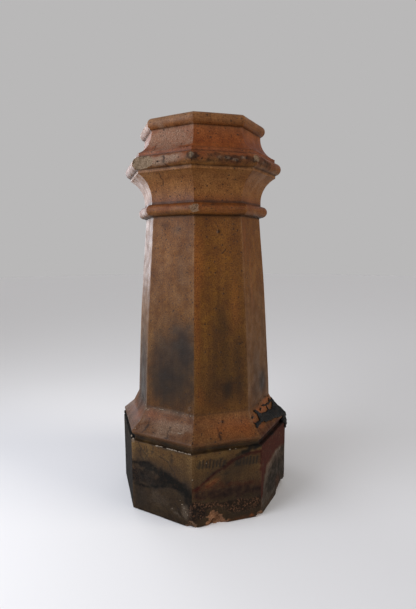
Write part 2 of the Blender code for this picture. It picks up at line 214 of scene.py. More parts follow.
main_roll_foot = main_roll_centre[1] - roll_reach(lower_fillet, main_roll_apothem, MAIN_ROLL_RADIUS)
lower_cavetto_top = main_roll_foot - LOWER_FILLET_HEIGHT
lower_cavetto_foot = lower_cavetto_top - LOWER_CAVETTO_RISE
astragal_centre = (lower_neck, lower_cavetto_foot - LOWER_NECK_HEIGHT - ASTRAGAL_RADIUS)
shaft_top = astragal_centre[1] - roll_reach(SHAFT_TOP_APOTHEM, astragal_centre[0], ASTRAGAL_RADIUS)


def shaft_line(inset=0.0):
    """The shaft from its foot to its top: a straight taper with a slight swell."""
    shares = [step / SHAFT_STEPS for step in range(SHAFT_STEPS + 1)]
    taper = SHAFT_TOP_APOTHEM - SHAFT_FOOT_APOTHEM
    return [(SHAFT_FOOT_APOTHEM + taper * share + SHAFT_SWELL * 4 * share * (1 - share) - inset,
             skirt_top + (shaft_top - skirt_top) * share) for share in shares]


def skirt_line():
    """The skirt from the underside of its lip up to the foot of the shaft."""
    break_point = (SHAFT_FOOT_APOTHEM + SKIRT_BREAK_REACH, skirt_top - SKIRT_BREAK_DROP)
    to_break = (break_point[0] - lip_centre[0], break_point[1] - lip_centre[1])
    tangent_angle = atan2(to_break[1], to_break[0]) - acos(LIP_RADIUS / hypot(*to_break))
    points = arc(lip_centre, LIP_RADIUS, -pi / 2, tangent_angle)
    points += rounded_bend(points[-1], break_point, (SHAFT_FOOT_APOTHEM, skirt_top), SKIRT_BREAK_RADIUS)
    return points + [(SHAFT_FOOT_APOTHEM, skirt_top)]


def outside_line():
    """The whole outside from the underside of the foot to the rim."""
    inset = FOOT_APOTHEM - FOOT_EDGE_RADIUS
    foot = arc((inset, FOOT_EDGE_RADIUS), FOOT_EDGE_RADIUS, -pi / 2, 0, EDGE_CELL)
    foot += arc((inset, FOOT_HEIGHT - FOOT_EDGE_RADIUS), FOOT_EDGE_RADIUS, 0, pi / 2, EDGE_CELL)
    quirk_apothem = FOOT_APOTHEM - QUIRK_DEPTH
    foot += [(quirk_apothem, FOOT_HEIGHT), (quirk_apothem, lip_underside)]

    shaft_meets = acos((SHAFT_TOP_APOTHEM - astragal_centre[0]) / ASTRAGAL_RADIUS)
    cornice = arc(astragal_centre, ASTRAGAL_RADIUS, -shaft_meets, pi / 2)
    hollow = cavetto_radius(LOWER_CAVETTO_RISE, LOWER_CAVETTO_REACH)
    sweep = asin(LOWER_CAVETTO_RISE / hollow)
    cornice += arc((lower_neck + hollow, lower_cavetto_foot), hollow, pi, pi - sweep, SKIRT_CELL)
    lower_meets = acos((lower_fillet - main_roll_apothem) / MAIN_ROLL_RADIUS)
    upper_meets = acos((upper_fillet - main_roll_apothem) / MAIN_ROLL_RADIUS)
    cornice += arc(main_roll_centre, MAIN_ROLL_RADIUS, -lower_meets, upper_meets)
    hollow = cavetto_radius(UPPER_CAVETTO_RISE, UPPER_CAVETTO_REACH)
    sweep = asin(UPPER_CAVETTO_RISE / hollow)
    cornice += arc((upper_neck + hollow, upper_cavetto_top), hollow, pi + sweep, pi, SKIRT_CELL)
    neck_meets = acos(TOP_ROLL_INSET / TOP_ROLL_RADIUS)
    cornice += arc(top_roll_centre, TOP_ROLL_RADIUS, -neck_meets, pi / 2)
    return (finely_stepped(foot, PLAIN_CELL) + finely_stepped(skirt_line(), SKIRT_CELL)
            + finely_stepped(shaft_line(), PLAIN_CELL)[1:-1] + finely_stepped(cornice, SKIRT_CELL))


def eased(start, end):
    """Points after start up to end, leaving and arriving upright."""
    across, down = end[0] - start[0], end[1] - start[1]
    shares = [step / EASED_STEPS for step in range(1, EASED_STEPS + 1)]
    return [(start[0] + across * (1 - cos(pi * share)) / 2, start[1] + down * share) for share in shares]


def flue_line():
    """The inside from the rim down to the underside, each stretch a wall's thickness behind the outside."""
    mouth = upper_neck - MOUTH_WALL
    mouth_foot = (mouth, POT_HEIGHT - MOUTH_DEPTH)
    belly = (main_roll_apothem + MAIN_ROLL_RADIUS - CORNICE_WALL, main_roll_centre[1])
    foot = FOOT_APOTHEM - FOOT_WALL
    points = arc((mouth + MOUTH_EDGE_RADIUS, POT_HEIGHT - MOUTH_EDGE_RADIUS), MOUTH_EDGE_RADIUS, pi / 2, pi)
    points += [mouth_foot] + eased(mouth_foot, belly)
    points += eased(belly, (SHAFT_TOP_APOTHEM - SHAFT_WALL, shaft_top)) + shaft_line(SHAFT_WALL)[-2::-1]
    points += eased(points[-1], (foot, FOOT_HEIGHT - FOOT_WALL))
    points += arc((foot + FOOT_EDGE_RADIUS, FOOT_EDGE_RADIUS), FOOT_EDGE_RADIUS, pi, 3 * pi / 2)
    return finely_stepped(points, FLUE_CELL)


def level(apothem, corner_radius, height):
    """One level of the pot: rounded corners with evenly stepped flats between them, anticlockwise."""
    centre_distance = (apothem - corner_radius) / cos(HALF_SIDE)
    corners = []
    for corner in range(SIDES + 1):
        bearing = HALF_SIDE + corner * SIDE_ANGLE
        turns = bearing + (np.arange(ARRIS_STEPS + 1) / ARRIS_STEPS - 0.5) * SIDE_ANGLE
        corners.append(np.stack([centre_distance * cos(bearing) + corner_radius * np.cos(turns),
                                 centre_distance * sin(bearing) + corner_radius * np.sin(turns)], 1))
    points = []
    for here, following in zip(corners, corners[1:]):
        shares = np.arange(1, FLAT_STEPS)[:, None] / FLAT_STEPS
        points += [here, here[-1] + (following[0] - here[-1]) * shares]
    points = np.concatenate(points)
    return np.column_stack([points, np.full(len(points), height)])


def pot_mesh():
    """The smooth shell as it left the mould: levels up the outside, over the rim and down the flue."""
    outside, flue = outside_line(), flue_line()
    rim = finely_stepped([outside[-1], flue[0]], RIM_CELL)[1:-1]
    underside = finely_stepped([flue[-1], outside[0]], PLAIN_CELL)[1:-1]
    levels = [level(apothem, ARRIS_RADIUS, height) for apothem, height in outside + rim]
    levels += [level(apothem, FLUE_CORNER_RADIUS, height) for apothem, height in flue]
    levels += [level(apothem, ARRIS_RADIUS, height) for apothem, height in underside]
    points = np.concatenate(levels)
    rows, across = len(levels), len(levels[0])
    near = np.arange(rows * across).reshape(rows, across)
    above = np.roll(near, -1, 0)
    faces = np.stack([near, np.roll(near, -1, 1), np.roll(above, -1, 1), above], -1).reshape(-1, 4)
    mesh = bpy.data.meshes.new("chimney_pot_worn")
    mesh.from_pydata(points.tolist(), [], faces.tolist())
    return mesh


# Wear on the pot: knocks that took chips from the rolls and the foot, hairlines and pits
# Each chip: direction it faces, distance and height of the surface there, half length, half height, depth
# and shift in millimetres, how many times its depth the ball that bites it out is thick, and 0 for an old
# grey break to 1 for a fresh one.
roll_face = main_roll_apothem + MAIN_ROLL_RADIUS
roll_arris = roll_face / cos(HALF_SIDE)
astragal_arris = (lower_neck + ASTRAGAL_RADIUS) / cos(HALF_SIDE)
foot_arris = FOOT_APOTHEM / cos(HALF_SIDE)
roll_middle = main_roll_centre[1]
CHIPS = (
    (-145.0, roll_face, roll_middle + 1 * MM, 32, 24, 6.5, -19, 5.0, 0.0),
    (FRONT_CORNER, roll_arris, roll_middle + 5 * MM, 12, 14, 5.5, 0, 5.0, 0.0),
    (RIGHT_CORNER, roll_arris, roll_middle + 6 * MM, 19, 16, 7.0, 0, 5.0, 0.1),
    (FRONT_CORNER, astragal_arris, astragal_centre[1] + 4 * MM, 25, 20, 8.0, 2, 5.0, 0.2),
    (FRONT, FOOT_APOTHEM, -4 * MM, 27, 42, 12.5, -25, 5.0, 1.0),
    (FRONT_CORNER, foot_arris, -2 * MM, 32, 22, 10.0, 0, 5.0, 0.4),
    (RIGHT_CORNER, foot_arris, -2 * MM, 26, 20, 10.0, 0, 5.0, 0.6),
    (-32.0, FOOT_APOTHEM, -3 * MM, 41, 22, 21.0, 12, 1.5, 0.3),
    (LEFT_CORNER, foot_arris, FOOT_HEIGHT, 13, 7, 7.0, 4, 5.0, 0.0),
)
# The broken clay's roughness and the unevenness of a chip's outline, as smooth fields laid over one another:
# size in millimetres, seed and weight of each
GRIT_LAYERS = ((4, 3, 1.0), (1.8, 4, 0.6))
CHIP_LAYERS = ((11, 5, 1.0), (5, 6, 0.5))
CHIP_GRIT = 0.5 * MM
CHIP_RAGGED = 0.10
CHIP_SHRUNK = 0.15
# How deep a bite shows all of its grit, and how deep it starts to look and wholly looks broken
GRITTY_DEPTH = 1.5 * MM
BROKEN_DEPTHS = (0.1 * MM, 0.5 * MM)
CHIP_EDGE = 1.04
REFINEMENTS = 2

# Hairline cracks on each face, as points along it from its middle and up it, in millimetres
CRACKS = {
    FRONT_LEFT: (
        ((-35, 849), (-31, 838), (-33, 830)), ((-28, 824), (-32, 815), (-30, 806), (-27, 800)),
        ((9, 825), (6, 814), (7, 803), (12, 796)), ((-16, 787), (-19, 778), (-16, 771), (-20, 762)),
        ((-52, 224), (-47, 213), (-49, 204), (-55, 197)), ((14, 216), (12, 207), (15, 197)),
        ((-62, 172), (-55, 158), (-60, 146), (-49, 132)), ((-40, 170), (-36, 150), (-42, 138), (-37, 124)),
        ((-21, 174), (-20, 163), (-25, 152)), ((-60, 166), (-50, 153), (-37, 143), (-32, 135)),
        ((0, 150), (10, 147), (20, 143), (26, 133), (36, 123), (40, 112)), ((28, 168), (31, 156), (29, 142)),
        ((-50, 153), (-44, 160), (-46, 168)), ((38, 48), (48, 36), (55, 22)),
    ),
    FRONT: (((-16, 219), (-13, 208), (-16, 197)), ((7, 611), (12, 616), (17, 622)), ((46, 404), (54, 408)),),
}
CRACK_HALF_WIDTH = 0.72 * MM
CRACK_DEPTH = 0.5 * MM
CRACK_DIRT = 0.88
# A row of shallow strokes across the front of the foot, where the photo has marks too blurred to read. They
# stand in two runs, parted by the dark red line, and are no letters: where a run starts, and the foot and the
# head of each stroke in millimetres.
MARK_RUNS = (
    (-66, ((141, 156), (140, 158), (141, 155), (140, 158), (139, 154), (140, 153), (139, 155), (139, 150))),
    (22, ((136, 148), (136, 151), (135, 152), (136, 150), (135, 152), (135, 148), (135, 150))),
)
MARK_SPACING = 8
MARK_LEAN = 2
MARKS = tuple(((start + MARK_SPACING * stroke, low), (start + MARK_SPACING * stroke + MARK_LEAN, high))
              for start, strokes in MARK_RUNS for stroke, (low, high) in enumerate(strokes))
MARK_HALF_WIDTH = 1.3 * MM
MARK_DEPTH = 0.7 * MM
MARK_DIRT = 0.5
# Everything drawn into the surface: face, path, half width, depth and how dark the dirt in it is
GROOVES = [(bearing, path, CRACK_HALF_WIDTH, CRACK_DEPTH, CRACK_DIRT)
           for bearing, paths in CRACKS.items() for path in paths]
GROOVES += [(FRONT, path, MARK_HALF_WIDTH, MARK_DEPTH, MARK_DIRT) for path in MARKS]
# How many of its half widths out a groove is full depth and where it ends, and how far its line wanders in
# millimetres
GROOVE_CORE, GROOVE_END, WANDER = 0.4, 2.0, 0.8
GROOVE_MARGIN = 3.0

# Pits and knocks no bigger than a pea on each face: along, height, radius and depth in millimetres
PITS = {
    FRONT_LEFT: (
        (-9, 807, 3.0, 2.2), (45, 811, 2.5, 1.2), (34, 812, 2.0, 1.2), (-39, 623, 2.8, 1.0),
        (-30, 675, 2.5, 0.9), (58, 834, 3.0, 1.2), (50, 833, 2.4, 1.0),
    ),
    FRONT: (
        (-58, 812, 4.5, 2.0), (-50, 806, 3.0, 1.4), (2, 811, 3.5, 1.0), (14, 809, 5.0, 0.9),
        (26, 806, 3.5, 0.9), (48, 812, 4.0, 1.2), (1, 660, 6.0, 2.0), (-24, 579, 2.5, 0.9),
        (46, 406, 2.8, 1.0), (40, 902, 2.6, 1.0), (51, 902, 2.4, 0.9), (-1, 229, 5.0, 2.8),
        (-80, 200, 3.2, 1.8), (-66, 160, 2.2, 0.8),
    ),
    RIGHT: ((-30, 813, 4.0, 1.5), (-16, 812, 5.5, 2.0), (-8, 806, 3.0, 1.2),),
}
# The share of its radius that is a pit's floor, and how far round it the mesh is finer, in millimetres
PIT_FLOOR = 0.2
PIT_MARGIN = 2.5
PIT_DIRT = 0.85
# Unevenness left by the mould and the drying: lump size and height in millimetres
UNEVENNESS = ((150, 1.3), (55, 0.55), (18, 0.22), (7, 0.10))
# A line up the middle of the wall, which parts the outside from the flue: height, and distance from the axis
WALL_MIDDLE = ((0, 0.180), (skirt_top, 0.145), (shaft_top, 0.119), (POT_HEIGHT, 0.119))


def face_axes(bearing):
    """Outward and sideways directions of a face, sideways running to the right seen from outside."""
    turn = radians(bearing)
    return np.array([cos(turn), sin(turn), 0.0]), np.array([-sin(turn), cos(turn), 0.0])


def reaches(points):
    """How far each point lies out in the direction of each face."""
    return np.stack([points @ face_axes(bearing)[0] for bearing in FACES])


def faces_of(points):
    """The bearing of the face that each point lies on."""
    return np.array(FACES)[np.argmax(reaches(points), 0)]


def on_face_plane(points, bearing):
    """How far along a face and how high up each point lies, in millimetres."""
    return points @ face_axes(bearing)[1] / MM, points[:, 2] / MM


def smooth_field(points, size_mm, seed):
    """Smooth seeded noise over the points, between about -1 and 1, with lumps of the given size."""
    shift = Vector((seed * 17.3, seed * 5.1, seed * -9.7))
    size = size_mm * MM
    return np.array([noise.noise(Vector(point) / size + shift) for point in points])


def layered_field(points, layers, level=0.0):
    """Smooth fields laid over one another on a level: size in millimetres, seed and weight of each."""
    for size_mm, seed, weight in layers:
        level = level + weight * smooth_field(points, size_mm, seed)
    return level


def distance_to_path(along, height, path):
    """Distance in millimetres from points on a face to a polyline drawn on it."""
    nearest = np.full(len(along), np.inf)
    for (x0, z0), (x1, z1) in zip(path, path[1:]):
        run, rise = x1 - x0, z1 - z0
        share = ((along - x0) * run + (height - z0) * rise) / (run ** 2 + rise ** 2)
        share = np.clip(share, 0, 1)
        nearest = np.minimum(nearest, np.hypot(along - x0 - share * run, height - z0 - share * rise))
    return nearest


def depth_inside(along, height, outline):
    """How far inside an outline drawn on a face each point lies in millimetres, below 0 outside it."""
    closed = outline + outline[:1]
    inside = np.zeros(len(along), bool)
    for (x0, z0), (x1, z1) in zip(closed, closed[1:]):
        if z0 != z1:
            crossing = x0 + (height - z0) * (x1 - x0) / (z1 - z0)
            inside ^= ((z0 > height) != (z1 > height)) & (along < crossing)
    away = distance_to_path(along, height, closed)
    return np.where(inside, away, -away)


def in_chip(points, chip):
    """Points in the frame of the ball that bites the chip: x outwards, unit radius."""
    bearing, distance, height, half_length, half_height, depth, along, flatness, _ = chip
    outward, sideways = face_axes(bearing)
    thickness = depth * MM * flatness
    spread = sqrt(1 - (1 - 1 / flatness) ** 2)
    centre = distance + thickness - depth * MM
    return np.stack([(points @ outward - centre) / thickness,
                     (points @ sideways - along * MM) / (half_length * MM / spread),
                     (points[:, 2] - height) / (half_height * MM / spread)], 1)


def near_wear(points):
    """Where the shell needs a finer mesh: round the chips, the pits and the hairlines."""
    bearings = faces_of(points)
    fine = np.zeros(len(points), bool)
    for chip in CHIPS:
        fine |= np.linalg.norm(in_chip(points, chip), axis=1) < CHIP_EDGE
    for bearing, path, *_ in GROOVES:
        close = distance_to_path(*on_face_plane(points, bearing), path) < GROOVE_MARGIN
        fine |= close & (bearings == bearing)
    for bearing, pits in PITS.items():
        across, up = on_face_plane(points, bearing)
        for along, height, radius, _ in pits:
            fine |= (np.hypot(across - along, up - height) < radius + PIT_MARGIN) & (bearings == bearing)
    return fine & (np.max(reaches(points), 0) > np.interp(points[:, 2], *zip(*WALL_MIDDLE)))


def refined(mesh):
    """The cells near the wear split twice, so that chips and hairlines have crisp edges."""
    bm = bmesh.new()
    bm.from_mesh(mesh)
    for _ in range(REFINEMENTS):
        bm.faces.ensure_lookup_table()
        bm.edges.index_update()
        centres = np.array([face.calc_center_median() for face in bm.faces])
        worn_faces = np.flatnonzero(near_wear(centres))
        chosen = sorted({edge.index for index in worn_faces for edge in bm.faces[index].edges})
        bm.edges.ensure_lookup_table()
        edges = [bm.edges[index] for index in chosen]
        bmesh.ops.subdivide_edges(bm, edges=edges, cuts=1, use_grid_fill=True)
    bm.to_mesh(mesh)
    bm.free()


def rows_of(mesh, what):
    """The mesh's points ("co") or smooth normals ("normal") as rows of x, y, z."""
    values = np.empty(len(mesh.vertices) * 3)
    mesh.vertices.foreach_get(what, values)
    return values.reshape(-1, 3)


def smoothstep(value, low, high):
    """0 below low, 1 above high, easing in between."""
    share = np.clip((value - low) / (high - low), 0, 1)
    return share * share * (3 - 2 * share)


def knock_chips(points):
    """Push the surface in to the balls that bite the chips. Returns points, how broken and how fresh."""
    broken = np.zeros(len(points))
    fresh = np.zeros(len(points))
    grit = layered_field(points, GRIT_LAYERS)
    size = 1 + CHIP_RAGGED * (layered_field(points, CHIP_LAYERS) - CHIP_SHRUNK)
    for chip in CHIPS:
        bearing, *_, depth_mm, _, flatness, freshness = chip
        place = in_chip(points, chip)
        flat = size ** 2 - place[:, 1] ** 2 - place[:, 2] ** 2
        bite = -np.sqrt(np.clip(flat, 0, None))
        inside = (flat > 0) & (place[:, 0] > bite) & (place[:, 0] < 1.0)
        push = np.where(inside, (bite - place[:, 0]) * depth_mm * MM * flatness, 0)
        depth = np.clip(-push / GRITTY_DEPTH, 0, 1)
        push -= np.where(inside, (0.5 + 0.5 * grit) * CHIP_GRIT * depth, 0)
        points = points + push[:, None] * face_axes(bearing)[0]
        broken = np.maximum(broken, np.where(inside, smoothstep(-push, *BROKEN_DEPTHS), 0))
        fresh = np.where(inside, freshness, fresh)
    return points, broken, fresh


def worn(points, normals):
    """The pot's surface as it is now: its points, and how broken, how fresh and how cracked each is."""
    bearings = faces_of(points)
    outside = (points * normals)[:, :2].sum(1) > 0
    drop = np.zeros(len(points))
    for seed, (size, height) in enumerate(UNEVENNESS):
        drop += height * MM * (0.5 + 0.5 * smooth_field(points, size, seed + 11))
    cracked = np.zeros(len(points))
    wander = WANDER * smooth_field(points, size_mm=5, seed=21)
    for bearing, path, half_width, depth, dirt in GROOVES:
        across, up = on_face_plane(points, bearing)
        away = distance_to_path(across + wander, up, path) * MM
        groove = (bearings == bearing) * outside * (
            1 - smoothstep(away, GROOVE_CORE * half_width, GROOVE_END * half_width))
        drop += depth * groove
        cracked = np.maximum(cracked, dirt * groove)
    for bearing, pits in PITS.items():
        across, up = on_face_plane(points, bearing)
        for along, height, radius, depth in pits:
            away = np.hypot(across - along, up - height) + wander
            hollow = (bearings == bearing) * outside * (1 - smoothstep(away, PIT_FLOOR * radius, radius))
            drop += depth * MM * hollow
            cracked = np.maximum(cracked, PIT_DIRT * hollow)
    points = points - normals * (drop * outside)[:, None]
    points, broken, fresh = knock_chips(points)
    cracked *= 1 - broken
    points[:, :2] = np.clip(points[:, :2], -FOOT_APOTHEM, FOOT_APOTHEM)
    points[:, 2] = np.clip(points[:, 2], 0, POT_HEIGHT)
    return points, broken, fresh, cracked


# Stains on the pot: soot and scorching from the flue's smoke and an old fire, crust from the damp bed, dark
# red and warm flushes in the glaze, and lime bloom. The soot blots on the left face are painted shade.
# Each blot on a face: along, height, half width, half height, strength, and its lean in degrees if it leans
SOOT_AND_SHADE_BLOTS = {
    FRONT_LEFT: (
        (10, 360, 100, 150, 0.76), (42, 400, 54, 88, 0.62, 8), (42, 398, 40, 56, 0.3, 6),
        (-22, 314, 50, 72, 0.58, -5), (-22, 308, 34, 52, 0.3), (24, 300, 76, 74, 0.52),
        (-22, 674, 18, 12, 0.42), (14, 665, 22, 14, 0.38, 10), (30, 570, 30, 90, 0.18),
        (-40, 560, 12, 90, 0.12), (-9, 807, 5, 3, 0.75), (66, 812, 9, 9, 0.6), (0, 700, 60, 8, 0.35),
        (-58, 40, 36, 44, 0.34), (40, 132, 30, 14, 0.26, -20), (-56, 152, 24, 12, 0.34, -20),
        (-40, 124, 60, 30, 0.5, -8), (20, 108, 60, 30, 0.55, -16), (-40, 86, 70, 30, 0.62),
        (66, 84, 34, 40, 0.55, -20), (4, 76, 70, 16, 0.4, 8),
    ),
    FRONT: (
        (0, 462, 26, 86, 0.4, 2), (-14, 400, 10, 110, 0.24), (14, 380, 9, 130, 0.24),
        (16, 370, 76, 130, 0.34), (-8, 640, 26, 40, 0.12), (40, 360, 10, 110, 0.22),
        (17, 302, 17, 30, 0.62, -8), (20, 296, 34, 50, 0.4, -14), (50, 300, 24, 44, 0.3),
        (-10, 300, 60, 50, 0.28), (12, 500, 8, 90, 0.16), (-30, 520, 8, 90, 0.12), (8, 812, 50, 7, 0.26),
        (-70, 812, 12, 10, 0.66), (66, 807, 12, 8, 0.55), (0, 718, 60, 5, 0.26), (0, 146, 95, 36, 0.34),
        (20, 126, 60, 24, 0.34, 14), (-34, 126, 60, 12, 0.3, 24), (-5, 106, 10, 16, 0.36, 20),
        (40, 12, 60, 16, 0.3), (60, 150, 50, 30, 0.3, 10),
    ),
    RIGHT: (
        (26, 292, 32, 50, 0.82, 2), (34, 440, 16, 160, 0.3), (-8, 345, 26, 70, 0.26), (0, 280, 60, 44, 0.34),
        (-18, 810, 18, 8, 0.3), (10, 70, 80, 60, 0.15, 10), (20, 30, 60, 50, 0.12, 20),
    ),
    FAR_RIGHT: ((0, 330, 60, 120, 0.35), (0, 80, 90, 90, 0.45),),
    BACK_RIGHT: ((10, 360, 60, 130, 0.4), (0, 70, 90, 70, 0.4),),
    BACK: ((-10, 340, 66, 120, 0.45), (10, 60, 90, 60, 0.4), (-30, 120, 50, 30, 0.45, 8),),
    BACK_LEFT: ((0, 360, 70, 150, 0.5), (20, 90, 90, 70, 0.6),),
    # The left face's blots are painted shade: they darken its lower shaft and skirt.
    LEFT: ((0, 330, 80, 170, 0.75), (10, 250, 80, 60, 0.6), (0, 285, 90, 60, 0.4),),
}
# Runs of soot down the foot: path, half width and strength. The first lie in the shallow strokes.
SOOT_RUNS = {FRONT: tuple((path, 3.0, 0.66) for path in MARKS) + (
    (((-8, 122), (4, 117), (5, 101), (-4, 93)), 3.4, 0.60),)}
# Each area on a face: outline as points along and up it, softness of its edge in millimetres, strength
SCORCHED_AREAS = {
    FRONT_LEFT: (
        (((-95, 134), (-70, 131), (-49, 137), (-32, 137), (-15, 129), (4, 126), (23, 120), (47, 114),
         (63, 106), (73, 98), (95, 88), (95, 60), (57, 72), (36, 82), (15, 88), (-2, 88), (-13, 100),
         (-21, 107), (-35, 108), (-56, 108), (-95, 109)), 12, 1.0),
        (((57, 78), (95, 86), (95, -8), (84, -8), (80, 36), (73, 44), (62, 54)), 7, 0.85),
        (((-95, 112), (-40, 110), (-6, 100), (20, 88), (-20, 70), (-95, 66)), 12, 0.8),
        (((-95, 70), (-20, 68), (40, 76), (70, 60), (60, -8), (-95, -8)), 14, 0.32),
        (((58, 823), (90, 823), (90, 802), (58, 804)), 5, 0.66),
    ),
    LEFT: ((((-95, 190), (95, 190), (95, -20), (-95, -20)), 6, 0.97),),
    FRONT: (
        (((-95, 90), (-51, 84), (-19, 89), (11, 92), (95, 84), (95, 48), (11, 53), (-26, 55), (-70, 66),
         (-95, 72)), 12, 0.62),
        (((-95, 68), (-74, 62), (-51, 46), (-47, 34), (-50, 23), (-64, 18), (-95, 24)), 6, 0.95),
        (((0, 143), (12, 156), (30, 170), (58, 179), (95, 182), (95, 171), (78, 168), (59, 164), (39, 158),
         (24, 152)), 6, 1.0),
        (((-44, 821), (80, 821), (80, 799), (-44, 799)), 6, 0.6),
        (((-90, 823), (-58, 823), (-58, 800), (-90, 800)), 5, 0.7),
        (((-40, 724), (70, 724), (70, 714), (-40, 714)), 5, 0.42),
    ),
    RIGHT: (
        (((39, 124), (95, 116), (95, 16), (21, 14), (-54, 34), (-62, 70), (-36, 98), (-2, 110)), 16, 0.66),
        (((-80, 822), (14, 820), (14, 799), (-80, 799)), 6, 0.66),
    ),
    BACK_LEFT: (
        (((-95, 150), (-40, 140), (10, 122), (60, 112), (95, 104), (95, 50), (40, 60), (-20, 54), (-95, 40)),
         10, 0.8),
    ),
    BACK: (
        (((-95, 96), (-30, 84), (30, 60), (95, 52), (95, 20), (0, 28), (-95, 44)), 12, 0.7),
        (((-80, 822), (60, 822), (60, 802), (-80, 802)), 7, 0.46),
    ),
}
SCORCHED_BANDS = {
    FRONT_LEFT: (
        (((-90, 73), (-72, 68), (-54, 67), (-37, 68), (-14, 75), (6, 82), (26, 86), (47, 84)), 5.5, 0.95),
    ),
    FRONT: ((((-80, 95), (-51, 112), (-30, 127)), 4.0, 0.45),),
}
CRUSTED_AREAS = {
    FRONT: (
        (((-95, 70), (-44, 60), (-19, 57), (11, 56), (73, 54), (95, 52), (95, 22), (40, 19), (9, 20),
         (-6, 31), (-26, 44), (-44, 40), (-53, 20), (-95, 10)), 7, 1.0),
    ),
    FRONT_LEFT: (
        (((72, 60), (95, 66), (95, -8), (66, -8)), 8, 0.75),
        (((-95, 110), (-56, 108), (-21, 104), (-4, 94), (6, 82), (-30, 70), (-72, 66), (-95, 70)), 14, 0.52),
    ),
    RIGHT: ((((-95, 30), (-40, 24), (20, 16), (90, 20), (90, -10), (-95, -10)), 10, 0.6),),
    BACK: ((((-60, 30), (20, 20), (80, 14), (80, -10), (-60, -10)), 10, 0.6),),
}
RUDDY_AREAS = {
    RIGHT: (
        (((-95, 190), (95, 190), (95, 108), (60, 112), (23, 119), (-15, 114), (-50, 108), (-64, 83),
         (-70, 50), (-95, 44)), 8, 1.0),
        (((-95, 60), (-72, 60), (-74, 10), (-95, 10)), 6, 0.5),
        (((-95, 214), (-60, 208), (-20, 206), (40, 198), (95, 194), (95, 178), (-95, 178)), 8, 0.6),
    ),
    FRONT: (
        (((70, 162), (95, 172), (95, 30), (82, 60)), 8, 0.9),
        (((-95, 90), (-51, 86), (-19, 90), (11, 92), (95, 88), (95, 52), (-95, 60)), 14, 0.6),
    ),
    FAR_RIGHT: ((((-95, 190), (30, 176), (0, 120), (-60, 96), (-95, 90)), 12, 0.55),),
}
# Bands where the glaze flushed dark red round the stain on the foot: path, half width and strength
RUDDY_BANDS = {
    FRONT: (
        (((-84, 88), (-72, 94), (-51, 108), (-26, 127), (-9, 135)), 4.6, 1.0),
        (((-12, 134), (6, 144), (24, 153), (39, 157), (54, 160), (80, 162)), 6.4, 1.0),
        (((-80, 88), (-30, 96), (20, 92), (80, 84)), 10, 0.6),
        (((-60, 88), (-25, 90), (6, 92)), 5, 0.6),
    ),
}
WARM_BLOTS = {
    FRONT: (
        (-38, 102, 28, 10, 0.42, 26), (20, 218, 80, 30, 0.42), (56, 212, 26, 24, 0.3),
        (-56, 500, 14, 230, 0.34), (-50, 600, 22, 100, 0.26), (-52, 290, 16, 40, 0.2),
        (36, 490, 18, 90, 0.18), (60, 9, 8, 6, 0.8), (30, 5, 50, 5, 0.4), (0, 700, 70, 10, 0.22),
        (0, 838, 60, 12, 0.3),
    ),
    RIGHT: (
        (-20, 232, 30, 10, 0.55), (30, 240, 36, 8, 0.75), (-60, 218, 16, 16, 0.65), (0, 228, 60, 12, 0.65),
        (-46, 206, 18, 5, 0.55), (-40, 128, 10, 40, 0.3, 10), (30, 36, 26, 26, 0.3, 20),
        (-44, 640, 12, 70, 0.3), (-20, 560, 10, 130, 0.18),
    ),
    LEFT: ((30, 222, 40, 26, 0.75), (-20, 214, 40, 18, 0.5), (0, 236, 26, 10, 0.35),),
    FRONT_LEFT: ((-50, 232, 24, 14, 0.3), (-20, 228, 50, 18, 0.18), (30, 834, 30, 8, 0.25),),
    BACK: ((0, 216, 60, 22, 0.35),),
    BACK_RIGHT: ((-20, 560, 16, 160, 0.25),),
    BACK_LEFT: ((10, 220, 60, 20, 0.3),),
}
PALE_BLOTS = {
    FRONT_LEFT: (
        (0, 862, 90, 34, 0.64), (0, 904, 80, 12, 0.2), (0, 812, 80, 14, 0.8), (45, 211, 9, 2.6, 0.85, 4),
        (-60, 205, 12, 8, 0.18), (12, 243, 70, 3.0, 0.22), (-63, 241, 6, 5, 0.6), (6, 247, 66, 1.4, 0.34),
        (53, 262, 1.6, 14, 0.4, -8), (64, 243, 5, 5, 0.45), (66, 34, 10, 22, 0.34, 10),
        (-8, 46, 30, 26, 0.12), (40, 26, 16, 3, 0.3, -30), (6, 214, 66, 20, 0.46), (-66, 222, 2.4, 20, 0.35),
        (-30, 112, 40, 12, 0.08, -6), (30, 812, 30, 4, 0.25),
    ),
    RIGHT: ((-4, 117, 50, 3.5, 0.16, 8), (-40, 808, 8, 4, 0.4),),
    FRONT: (
        (6, 811, 10, 5, 0.5), (-12, 812, 7, 3, 0.4, 10), (22, 808, 9, 4, 0.45), (42, 813, 9, 4, 0.5),
        (14, 152, 18, 1.8, 0.36, 38),
    ),
    BACK: ((-20, 246, 60, 3, 0.4),),
    BACK_RIGHT: ((20, 214, 8, 3, 0.5),),
}


# How far the edges of stains wander: fields of the same kind, and how much of them areas and lines take
EDGE_LAYERS = ((22, 31, 1.0), (8, 32, 0.5))
AREA_RAGGED, LINE_RAGGED = 0.55, 0.35


